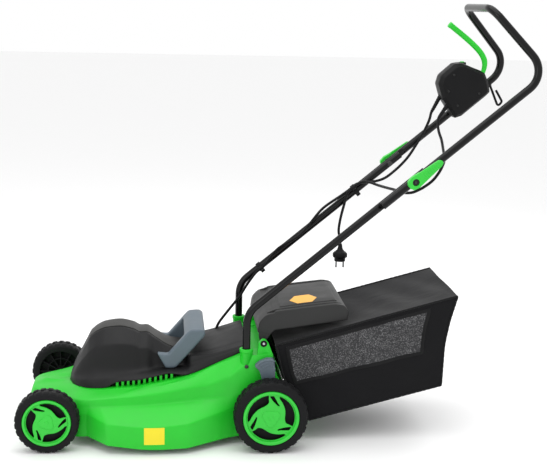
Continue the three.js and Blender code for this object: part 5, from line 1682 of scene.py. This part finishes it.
@dataclass
class Handle:
    """The lower tubes, the folding loop, and the bolts and levers that clamp them."""

    plan: HandlePlan = field(default_factory=HandlePlan)

    @property
    def flats(self) -> Flat:
        """Where the flattened faces of the lower tube and of the leg stand, from the middle."""
        return (self.plan.lower_y + 5.5, self.plan.leg_y - 5.5)

    def pipe(self, line: Sequence[Point]) -> Piece:
        """A tube along a line, its two ends eased."""
        even = evenly(line, 3.0)
        aims = [(Vector(even[1]) - Vector(even[0])).normalized(),
            (Vector(even[-1]) - Vector(even[-2])).normalized()]
        first = [tuple(Vector(even[0]) + aims[0] * d) for d in (0.0, 0.25, 0.9)]
        last = [tuple(Vector(even[-1]) - aims[1] * d) for d in (0.9, 0.25, 0.0)]
        rings = [*first, *even[1:-1], *last]
        count = len(rings)
        eased = {0: 1.0, 1: 0.35, 2: 0.0, count - 3: 0.0, count - 2: 0.35, count - 1: 1.0}
        return Bench.tube(rings, lambda i: self.plan.tube - eased.get(i, 0.0), 28)

    def flatten(self, piece: Piece, y: float, outer: bool, reach: Flat) -> None:
        """Presses a tube flat against its neighbour where the two lie side by side.

        Args:
            piece: The tube.
            y: Where the flat face stands, from the middle.
            outer: Whether the face looks away from the middle.
            reach: The stretch along the handle, from and to.
        """
        count = len(piece.data.vertices)
        points = np.empty(count * 3, np.float32)
        piece.data.vertices.foreach_get("co", points)
        points = points.reshape(-1, 3)
        for point in points:
            s, n = self.plan.back(((point[0] - Bench.datum.shift) / MM, 0, point[2] / MM))
            if abs(n) > 14:
                continue
            share = min(max((s - reach[0]) / 12, 0.0), max((reach[1] - s) / 12, 0.0), 1.0)
            share = share * share * (3 - 2 * share)
            away = abs(point[1]) / MM
            over = away - y if outer else y - away
            if over > 0 and share > 0 and away > 100:
                point[1] = math.copysign((away - over * share if outer else away + over * share) * MM,
                    point[1])
        piece.data.vertices.foreach_set("co", points.ravel())
        piece.data.update()

    def lower(self) -> None:
        """The two tubes that stand in the deck, with their screws."""
        p = self.plan
        for side in Side:
            y = side.value * p.lower_y
            pipe = self.pipe(rounded([(p.socket_x, y, p.socket_floor + 2), (p.socket_x, y, p.knee_z),
                p.along(p.above, 0, y)], [p.knee_bend], 14))
            self.flatten(pipe, self.flats[0], True, (-p.below - 14, 200))
            Bench.settle(pipe, f"{side.word}_lower_pipe", Looks.PAINT, Body.DECK,
                [f"{side.word}_lower_tube"], 42)
            out = side.out
            screw = Bench.turned([(0, 140), (2.2, 140), (2.2, 165), (4.8, 165.2), (4.8, 166.6),
                (3.6, 167.8), (0, 168.2)], (p.socket_x, 0, 196), out, 28)
            Bench.settle(screw, f"{side.word}_socket_screw", Looks.DARK_STEEL, Body.DECK,
                [f"{side.word}_tube_screw"])

    def upper(self) -> None:
        """The folding loop."""
        p = self.plan
        cx, cy, cz = p.crossbar
        ez = p.height(p.elbow_x)
        line = rounded([p.along(-p.below, 0, -p.leg_y), (p.elbow_x, -p.leg_y, ez), (cx, -cy, cz),
            (cx, cy, cz), (p.elbow_x, p.leg_y, ez), p.along(-p.below, 0, p.leg_y)], [p.elbow_bend,
            p.crossbar_bend, p.crossbar_bend, p.elbow_bend], 14)
        loop = self.pipe(line)
        self.flatten(loop, self.flats[1], False, (-200, p.above + 20))
        Bench.settle(loop, "upper_handle_loop", Looks.PAINT, Body.UPPER_HANDLE, ["upper_handle"], 42)

    def locks(self) -> None:
        """Bolts, ring nuts and the green levers that clamp the joint."""
        p = self.plan
        outer, inner = p.leg_y + p.tube, p.lower_y - p.tube
        fold_z = p.height(p.fold_x)
        for side, body in ((Side.LEFT, Body.LEFT_CAM), (Side.RIGHT, Body.RIGHT_CAM)):
            out = side.out
            centre = (p.fold_x, 0, fold_z)
            head = Bench.turned([(0, inner - 5), (7, inner - 5), (7, inner - 0.5), (0, inner - 0.5)],
                centre, out, 6)
            Bench.bevel(head, 0.7, 2)
            shaft = Bench.turned([(0, inner - 1), (3.8, inner - 1), (3.8, outer + 11.4), (3.2, outer + 12),
                (0, outer + 12)], centre, out, 32)
            nut = Bench.turned([(3.6, outer + 1.2), (7.7, outer + 1.2), (7.7, outer + 9.2),
                (7.0, outer + 10.2), (5.2, outer + 10.2), (4.6, outer + 9.4), (3.6, outer + 9.4),
                (3.6, outer + 1.2)], centre, out, 40)
            Bench.settle(Bench.join(head, shaft, nut), f"{side.word}_fold_pin", Looks.DARK_STEEL, Body.DECK,
                [f"{side.word}_fold_bolt"])
            self.lever(side, body, outer)

    def lever(self, side: Side, body: Body, outer: float) -> None:
        """One clamping lever with a ribbed thumb piece."""
        p = self.plan
        outline = corners_cut([(-19, 4), (-14, 13), (0, 16), (20, 13), (74, 8), (80, 2), (78, -5), (70, -8),
            (20, -13), (0, -15), (-14, -12), (-19, -4)], (5, 10, 20, 8, 5, 5, 8, 20, 10, 6, 4), 4)

        def strip(reach: Flat, y0: float, y1: float, bevel: float) -> Piece:
            """The part of the lever that lies in one stretch along the handle."""
            flat = [(s, n) for s, n in outline if reach[0] <= s <= reach[1]]
            ys = side.span(y0, y1)
            return Bench.slab([p.along(s, n, ys[0]) for s, n in flat], (0, ys[1] - ys[0], 0), bevel, 3)

        hub = strip((-30, 32), outer + 1, outer + 15, 2.2)
        arm = strip((16, 90), outer + 7, outer + 15, 2.2)
        ribs = []
        for k in range(9):
            s = 24 + k * 6
            y, wide = side.value * (outer + 14.6), 9.0 - k * 0.45
            ribs.append(Bench.tube([p.along(s, n, y) for n in np.linspace(-wide, wide, 6)], 1.7, 8))
        lever = Bench.join(hub, arm, *ribs)
        bore = Bench.rod((p.fold_x, side.value * (outer - 2), p.height(p.fold_x)), (p.fold_x,
            side.value * (outer + 20), p.height(p.fold_x)), 8.5, 40, 0.01)
        Bench.melt(lever, 0.55, 3, 0.3)
        Bench.cut(lever, bore)
        Bench.settle(lever, f"{side.word}_lock_lever", Looks.GREEN_CAP, body, [f"{side.word}_cam_lever"], 50)

    def build(self) -> None:
        """Makes the handle."""
        self.lower()
        self.upper()
        self.locks()


@dataclass
class SwitchBox:
    """The two-part housing at the handle's bend, with its lever, button and switch."""

    outline: tuple[Flat, ...] = ((1010, 912), (1028, 915), (1056, 904), (1090, 892), (1100, 871),
        (1107, 842), (1096, 831), (1035, 779), (1018, 773), (1012, 779), (982, 823), (970, 860), (976, 882))
    bends: tuple[float, ...] = (9, 16, 14, 12, 14, 8, 8, 10, 5, 8, 20, 16, 20)
    centre: Flat = (1042, 845)
    pivot: Flat = (1078, 876)
    lever_y: float = 106.0
    button: Flat = (1036, 128)

    def shape(self, factor: float = 1.0) -> list[Flat]:
        """The housing's rounded outline, shrunk towards its middle."""
        points = [(x, 0.0, z) for x, z in self.outline]
        start = tuple((Vector(points[0]) + Vector(points[-1])) / 2)
        line = rounded([start, *points, start], self.bends, 5)[:-1]
        cx, cz = self.centre
        return [(cx + (x - cx) * factor, cz + (z - cz) * factor) for x, _, z in line]

    def pillow(self, layers: Sequence[Flat]) -> Piece:
        """A closed body through the outline at places across the mower, shrunk by a factor at each."""
        return Bench.closed([[(x, y, z) for x, z in self.shape(factor)] for y, factor in layers])

    def housing(self) -> None:
        """The cover on the inner side and the base on the outer one."""
        cover = self.pillow(((120.6, 0.985), (120.2, 1.0), (105, 1.0), (101, 0.985), (93.5, 0.885),
            (92.3, 0.86), (92, 0.83)))
        slot = Bench.plate([(1064, 869), (1096, 866), (1116, 900), (1104, 925), (1064, 925)], 99.8, 112.2)
        bore = Bench.rod((1036, 128, 889), (1036, 128, 940), 7.6, 36, 0.01)
        Bench.cut(cover, slot)
        Bench.settle(Bench.plate(self.shape(0.965), 119, 122.6), "switch_seam", Looks.BLACK,
            Body.UPPER_HANDLE)
        base = self.pillow(((121.4, 0.985), (121.8, 1.0), (139, 1.0), (143, 0.985), (148.6, 0.91),
            (149.3, 0.89), (149.5, 0.87)))
        Bench.cut(base, bore)
        Bench.settle(cover, "switch_cover_shell", Looks.BLACK, Body.UPPER_HANDLE, ["switch_cover"], 24)
        Bench.settle(base, "switch_base_shell", Looks.BLACK, Body.UPPER_HANDLE,
            ["switch_base", "switch_module"], 24)
        self.screws()

    def screws(self) -> None:
        """Cross-headed screws in sunk bosses on the cover."""
        for k, (x, z) in enumerate(((1008, 884), (1022, 806), (1076, 838), (996, 842))):
            boss = Bench.turned([(3.4, 91.2), (5.0, 91.2), (5.6, 91.8), (5.6, 94), (3.4, 94), (3.4, 91.2)],
                (x, 0, z), ACROSS, 28)
            Bench.settle(boss, f"cover_boss_{k}", Looks.BLACK, Body.UPPER_HANDLE)
            screw = Bench.turned([(0, 91.5), (2.4, 91.5), (3.1, 92.0), (3.1, 94), (0, 94)], (x, 0, z),
                ACROSS, 28)
            for turn in (0.0, math.pi / 2):
                c, s = math.cos(turn + k), math.sin(turn + k)
                bar = Bench.slab([(x + (a * c - b * s), 91.0, z + (a * s + b * c)) for a,
                    b in ((-2.1, -0.4), (2.1, -0.4), (2.1, 0.4), (-2.1, 0.4))], (0, 1.2, 0))
                Bench.cut(screw, bar)
            Bench.settle(screw, f"cover_screw_{k}", Looks.DARK_STEEL, Body.UPPER_HANDLE)

    def lever(self) -> None:
        """The green switch lever, its paler end cap and its hub."""
        px, pz = self.pivot
        y = self.lever_y
        ends = [Vector(p) for p in ((px + 6, y, pz + 8), (1098, y, 926), (1092, y, 938), (993, y, 1010))]
        line = []
        for k in range(41):
            t = k / 40
            line.append(tuple(ends[0] * (1 - t)**3 + ends[1] * 3 * t * (1 - t)**2 + ends[2] * 3 * t * t
                * (1 - t) + ends[3] * t**3))
        line = evenly(line, 2.5)
        last = len(line) - 1
        bar = Bench.tube(line, lambda i: 7.2 - 1.9 * max(0.0, 1 - i / 16) - (0.9 if i == last else 0.0), 24)
        hub = Bench.turned([(4.2, -5.4), (10.2, -5.4), (11, -4.6), (11, 4.6), (10.2, 5.4), (4.2, 5.4),
            (4.2, -5.4)], (px, y, pz), ACROSS, 40)
        Bench.settle(Bench.join(bar, hub), "switch_bail", Looks.GREEN, Body.SWITCH_LEVER, ["switch_lever"],
            42)
        tip, before = Vector(line[-1]), Vector(line[-4])
        cap = Bench.turned([(0, -6), (7.5, -6), (7.7, -5), (7.7, 0.5), (7.0, 1.6), (0, 1.9)], tuple(tip),
            (tip - before).normalized(), 32)
        Bench.settle(cap, "switch_bail_cap", Looks.GREEN_CAP, Body.SWITCH_LEVER)
        pin = Bench.turned([(0, -8), (3.9, -8), (3.9, 8), (0, 8)], (px, y, pz), ACROSS, 28)
        Bench.settle(pin, "switch_pin", Looks.DARK_STEEL, Body.UPPER_HANDLE)

    def press_button(self) -> None:
        """The button that has to be held before the lever moves."""
        x, y = self.button
        button = Bench.turned([(0, 889), (9.3, 889), (9.3, 893), (6.8, 893.4), (6.8, 914.6), (6.2, 916.2),
            (4.8, 917), (3.0, 916.2), (0, 915.9)], (x, y, 0), UP, 40)
        Bench.settle(button, "press_button", Looks.GREEN_CAP, Body.SAFETY_BUTTON, ["safety_button"], 35)
        collar = Bench.turned([(7.7, 900), (10.4, 900), (10.4, 914.2), (9.8, 915), (7.7, 915), (7.7, 900)],
            (x, y, 0), UP, 40)
        Bench.settle(collar, "button_collar", Looks.BLACK, Body.UPPER_HANDLE)

    def build(self) -> None:
        """Makes the switch box."""
        self.housing()
        self.lever()
        self.press_button()


# ---------------------------------------------------------------- flap and bag


@dataclass
class Flap:
    """The rear flap, which lies on the bag's mouth and springs shut."""

    half: float = 128.0
    hinge: Flat = (513.0, 251.0)

    def shell(self) -> Piece:
        """The folded plate with its side walls and hinge lugs."""
        outer = corners_cut([(540, 318), (545, 323), (620, 333), (690, 341), (712, 337), (722, 322),
            (720, 300), (542, 275), (530, 262), (500, 270), (504, 296), (520, 314)],
            (30, 200, 60, 16, 12, 3, 10, 3, 3, 24, 30), 5)
        shell = Bench.plate(outer, -self.half, self.half, 4.5, 4)
        hollow = Bench.plate([(500, 240), (504, 272), (509, 294), (523, 309.5), (546, 319), (620, 329),
            (690, 337), (710, 333), (717.5, 321), (716, 290), (542, 265), (530, 240)], -124, 124, 2.0, 2)
        Bench.cut(shell, hollow)
        lug = corners_cut([(503, 276), (505, 250), (513, 240.6), (521, 250), (531, 264), (531, 280)],
            (9, 12, 9, 6, 3), 5)
        lugs = []
        for side in Side:
            y = side.span(108, 127.6)
            lugs.append(Bench.plate(lug, y[0], y[1], 1.2))
        return Bench.join(shell, *lugs)

    def top(self, x: float) -> float:
        """Height of the flap's upper face at x."""
        return float(np.interp(x, (504, 520, 545, 620, 690, 712, 722), (296, 314, 323, 333, 341, 337, 322)))

    def ribs(self) -> Piece:
        """The raised rounded rib along each side, and the low step between them."""
        ribs = []
        for side in Side:
            line = [(x, side.value * 112.0, self.top(x) - 1.2) for x in np.linspace(524, 706, 40)]
            ribs.append(Bench.tube(line, lambda i: 4.6 * math.sin(math.pi * (i + 0.7) / 40.4) ** 0.35, 16))
        rows = []
        for x in np.linspace(556, 696, 32):
            rows.append([(x, y, self.top(x) + (2.2 if abs(y) < 96 else -1.0)) for y in (-98, -96.5, -95,
                -60, -20, 20, 60, 95, 96.5, 98)])
        first = [(554.5, y, self.top(554) - 1.0) for _, y, _ in rows[0]]
        last = [(697.5, y, self.top(697) - 1.0) for _, y, _ in rows[0]]
        panel = Bench.bevel(Bench.surface([first, *rows, last]), 0.8, 2, 30)
        return Bench.join(panel, *ribs)

    def build(self) -> None:
        """Makes the flap with its pin, spring and plain label."""
        cover = Bench.settle(Bench.join(self.shell(), self.ribs()), "flap_cover", Looks.FLAP, Body.FLAP,
            ["rear_flap"], 38)
        x, z = self.hinge
        pin = Bench.turned([(0, -161), (2.4, -161), (3, -160.4), (3, 160.4), (2.4, 161), (0, 161)],
            (x, 0, z), ACROSS, 28)
        Bench.settle(pin, "flap_hinge_pin", Looks.STEEL, Body.DECK, ["flap_pin"])
        coil = [(x + 5, -9.3, z - 9)]
        for k in range(3 * 20 + 1):
            a = 2 * math.pi * k / 20
            coil.append((x + 5 * math.cos(a), -9 + 18 * k / 60, z + 5 * math.sin(a)))
        coil.append((x + 5, 9.3, z + 12))
        Bench.settle(Bench.tube(coil, 0.8, 10), "flap_return_spring", Looks.STEEL, Body.DECK,
            ["flap_spring"], 60)
        corners = [(584, -56), (600, -91), (636, -91), (652, -56), (636, -21), (600, -21)]
        centre = Vector((sum(p[0] for p in corners) / 6, sum(p[1] for p in corners) / 6))
        rows = []
        for share in (0.0, 0.35, 0.7, 1.0):
            ring = []
            for k in range(36):
                a, b = Vector(corners[k // 6]), Vector(corners[(k // 6 + 1) % 6])
                spot = centre.lerp(a.lerp(b, (k % 6) / 6), share)
                ring.append(Bench.drop(cover, spot.x, spot.y, 0.35))
            rows.append(ring)
        label = Bench.surface(rows, around=True)
        Bench.thicken(label, 0.3)
        Bench.settle(label, "flap_label", Looks.ORANGE, Body.FLAP)


@dataclass
class Bag:
    """The fabric bag, drawn over a wire frame at its mouth."""

    half: float = 154.0
    long: int = 56
    tall: int = 30
    top_edge: tuple[Flat, ...] = ((543, 244.5), (985, 366))
    rear_edge: tuple[Flat, ...] = ((985, 366), (968, 304), (957.5, 243), (955, 139))
    foot_edge: tuple[Flat, ...] = ((629, 53), (955, 139))
    front_edge: tuple[Flat, ...] = ((543, 244.5), (564, 160), (629, 53))

    @staticmethod
    def run(points: Sequence[Flat], share: float) -> Vector:
        """A point at a share of a polyline's length, with its corners softened."""
        vectors = [Vector(p) for p in points]
        total = sum((b - a).length for a, b in zip(vectors, vectors[1:]))

        def plain(place: float) -> Vector:
            """The point at a share of the length, corners and all."""
            rest = min(max(place, 0.0), 1.0) * total
            for a, b in zip(vectors, vectors[1:]):
                length = (b - a).length
                if rest <= length + 1e-6:
                    return a.lerp(b, rest / length)
                rest -= length
            return vectors[-1]

        reach = min(0.07, share, 1 - share)
        return (plain(share - reach) + plain(share) * 2 + plain(share + reach)) / 4

    def flat(self, u: float, v: float) -> Vector:
        """A place on the side's flat outline, u along it and v up it."""
        top, foot = self.run(self.top_edge, u), self.run(self.foot_edge, u)
        front, rear = self.run(self.front_edge, 1 - v), self.run(self.rear_edge, 1 - v)
        corners = (self.run(self.foot_edge, 0), self.run(self.foot_edge, 1), self.run(self.top_edge, 0),
            self.run(self.top_edge, 1))
        blend = (corners[0] * (1 - u) * (1 - v) + corners[1] * u * (1 - v) + corners[2] * (1 - u) * v
            + corners[3] * u * v)
        return foot * (1 - v) + top * v + front * (1 - u) + rear * u - blend

    @staticmethod
    def folds(x: float, z: float, seed: float) -> float:
        """Soft creases that run from the upper corners, in millimetres."""
        total = 0.0
        for (ax, az), angle, wave, depth in (((985, 366), 198, 26, 2.0), ((985, 366), 232, 34, 1.7),
                ((545, 244), -38, 30, 1.5), ((955, 139), 150, 32, 1.8), ((629, 53), 62, 28, 1.3)):
            dx, dz = x - ax, z - az
            reach = math.hypot(dx, dz)
            off = (math.degrees(math.atan2(dz, dx)) - angle + 180) % 360 - 180
            near = math.exp(-(off / wave) ** 2) * math.exp(-((reach - 130) / 150) ** 2)
            total += depth * near * math.cos(math.radians(off) * reach / 15 + seed)
        return total

    def side(self, u: float, v: float, sign: int) -> Point:
        """A place on one side of the bag, which bellies out between its seams."""
        spot = self.flat(u, v)
        belly = (16 * u * (1 - u) * v * (1 - v)) ** 0.6
        rim = min(1.0, min(u, 1 - u, v, 1 - v) / 0.045)
        sag = self.folds(spot.x, spot.y, 1.7 * sign) - 2.6
        out = self.half - 5 * (1 - rim) ** 2 + 0.4 * belly + rim * sag
        return (spot.x, sign * min(out, 157.0), spot.y)

    def belt(self, share: float, y: float) -> Point:
        """A place on the band that runs over the top, down the rear and forward along the foot."""
        w = y / (self.half - 5)
        if share < 1:
            edge = self.run(self.top_edge, share)
            down = -7.0 * (1 - w * w) * (4 * share * (1 - share)) ** 0.5
            down += (1 - w * w) * 1.6 * math.sin(share * 31 + w * 3)
            return (edge.x, y, edge.y + down)
        if share < 2:
            edge = self.run(self.rear_edge, share - 1)
            t = share - 1
            out = 3.0 * (1 - w * w) * (4 * t * (1 - t)) ** 0.5 + 1.3 * (1 - w * w) * math.sin(t * 19 - w * 4)
            return (edge.x + out, y, edge.y)
        edge = self.run(self.foot_edge, 3 - share)
        t = share - 2
        down = -2.5 * (1 - w * w) * (4 * t * (1 - t)) ** 0.5 + 1.1 * (1 - w * w) * math.sin(t * 23 + w * 5)
        return (edge.x, y, edge.y + down)

    def cloth(self) -> Piece:
        """The bag's cloth in one piece, open at its mouth."""
        us, vs = np.linspace(0, 1, self.long + 1), np.linspace(0, 1, self.tall + 1)
        sides = [Bench.surface([[self.side(u, v, side.value) for u in us] for v in vs]) for side in Side]
        edge_y = self.half - 5
        shares = [*us[:-1], *(1 + vs[:-1]), *(2 + us)]
        across = np.linspace(-edge_y, edge_y, 37)
        belt = Bench.surface([[self.belt(s, y) for y in across] for s in shares])
        lips = []
        for side in Side:
            rows = []
            for v in vs:
                rim = self.run(self.front_edge, 1 - v)
                rows.append([(rim.x, side.value * y, rim.y) for y in (edge_y, 143.0, 136.0)])
            lips.append(Bench.surface(rows))
        for share in (0.0, 3.0):
            rows = []
            for y in across:
                x, _, z = self.belt(share, y)
                step = (2.2, -9.0) if share == 0.0 else (-5.0, 8.0)
                rows.append([(x, y, z), (x + step[0] / 2, y, z + step[1] / 2), (x + step[0], y, z + step[1])])
            lips.append(Bench.surface(rows))
        whole = Bench.join(belt, *sides, *lips)
        Bench.tidy(whole, 0.4 * MM)
        self.unwrap(whole)
        return whole

    @staticmethod
    def unwrap(piece: Piece) -> None:
        """A map at true scale for the weave: each face laid along the axis it looks at."""
        mesh = piece.data
        layer = mesh.uv_layers.active or mesh.uv_layers.new(name="weave")
        for face in mesh.polygons:
            n = [abs(c) for c in face.normal]
            a, b = ((0, 2) if n[1] >= max(n[0], n[2]) else (1, 2) if n[0] > n[2] else (0, 1))
            for loop in face.loop_indices:
                co = mesh.vertices[mesh.loops[loop].vertex_index].co
                layer.data[loop].uv = (co[a], co[b])

    def windows(self) -> list[Piece]:
        """Net panels on both sides, with the tape sewn round them."""
        made = []
        for side in Side:
            def place(a: float, b: float, lift: float = 0.8) -> Point:
                """A place on the window, a along it and b up it, lifted off the cloth."""
                left, right = (0.055, 0.50 + 0.43 * b), (0.85, 0.44 + 0.49 * b)
                x, y, z = self.side(left[0] + (right[0] - left[0]) * a, left[1] + (right[1] - left[1]) * a,
                    side.value)
                return (x, y + side.value * lift, z)

            net = Bench.surface([[place(a, b) for a in np.linspace(0, 1, 60)] for b in np.linspace(0, 1, 26)])
            Bench.thicken(net, 0.5)
            self.unwrap(net)
            made.append(Bench.settle(net, f"{side.word}_bag_net", Looks.NET, Body.BAG, (), 60))
            loop = [place(a, 0) for a in np.linspace(0, 1, 60)] + [place(1, b)
                for b in np.linspace(0, 1, 26)[1:]]
            loop += [place(a, 1) for a in np.linspace(1, 0, 60)[1:]] + [place(0, b)
                for b in np.linspace(1, 0, 26)[1:]]
            tape = self.band(loop, 4.2, side.value)
            made.append(Bench.settle(tape, f"{side.word}_bag_tape", Looks.BINDING, Body.BAG, (), 60))
        return made

    @staticmethod
    def band(loop: Sequence[Point], width: float, sign: int) -> Piece:
        """A flat tape laid along a closed line on one side of the bag."""
        rows = []
        count = len(loop)
        for i, point in enumerate(loop):
            a = Vector(loop[i - 1 if i else count - 2])
            b = Vector(loop[(i + 1) % count if i < count - 1 else 1])
            along = b - a
            across = Vector((-along.z, 0, along.x))
            across = across.normalized() * width if across.length > 1e-6 else Vector((0, 0, width))
            rows.append([tuple(Vector(point) + across * w + Vector((0, sign * (0.9 - 0.7 * w * w), 0)))
                for w in (-1, -0.8, 0, 0.8, 1)])
        tape = Bench.surface(rows)
        return Bench.thicken(tape, 0.8)

    def piping(self) -> list[Piece]:
        """The bound seams round both sides, and the hem of the mouth."""
        made = []
        for side in Side:
            loop = [self.side(k / 160, 1, side.value) for k in range(161)]
            loop += [self.side(1, 1 - k / 90, side.value) for k in range(1, 91)]
            loop += [self.side(1 - k / 120, 0, side.value) for k in range(1, 121)]
            loop += [self.side(0, k / 90, side.value) for k in range(1, 91)]
            line = evenly([(x, y + side.value * 0.6, z) for x, y, z in loop], 4.0)
            cord = Bench.tube(line, lambda i: 2.5 + 0.25 * math.sin(i * 1.9), 10)
            self.unwrap(cord)
            made.append(Bench.settle(cord, f"{side.word}_bag_piping", Looks.BINDING, Body.BAG, (), 60))
        return made

    def frame(self) -> None:
        """The wire frame that holds the mouth open."""
        y = 148.5
        line = rounded([(641, 3, 64), (641, y, 64), (575, y, 166), (556, y, 236), (556, -y, 236),
            (575, -y, 166), (641, -y, 64), (641, -3, 64)], (10,) * 6, 8)
        Bench.settle(Bench.tube(evenly(line, 4.0), 2.5, 16), "bag_wire", Looks.DARK_STEEL, Body.BAG,
            ["bag_frame"], 60)

    def build(self) -> None:
        """Makes the bag with its wire frame, cloth, net windows and piping."""
        self.frame()
        cloth = self.cloth()
        Bench.thicken(cloth, 1.6, -1.0)
        Bench.settle(cloth, "bag_cloth", Looks.CLOTH, Body.BAG, ["grass_bag"], 60)
        pieces = [*self.windows(), *self.piping()]


# ---------------------------------------------------------------- the whole


def save_sizes(when: str, sizes: dict[str, list[list[float]]]) -> None:
    """Adds the outer box at one moment to the sizes so far, and logs it.

    Args:
        when: What has just been done.
        sizes: The boxes so far, by moment.
    """
    low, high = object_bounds()
    sizes[when] = [[round(v, 5) for v in low], [round(v, 5) for v in high]]
    LOG.info("size %s: %s", when, sizes[when])


def main() -> None:
    """Builds the display model."""
    logging.basicConfig(level=logging.INFO, format="%(name)s %(message)s")
    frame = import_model()
    sizes: dict[str, list[list[float]]] = {}
    save_sizes("frame", sizes)
    Bench.datum = Datum.from_frame()
    Bench.nodes = frame["nodes"]
    Studio().build()
    Cables().build()
    Deck().build()
    Hood().build()
    CarryHandle().build()
    RunningGear().build()
    Drive().build()
    Handle().build()
    SwitchBox().build()
    Flap().build()
    Bag().build()
    save_sizes("dressed", sizes)


if __name__ == "__main__":
    main()
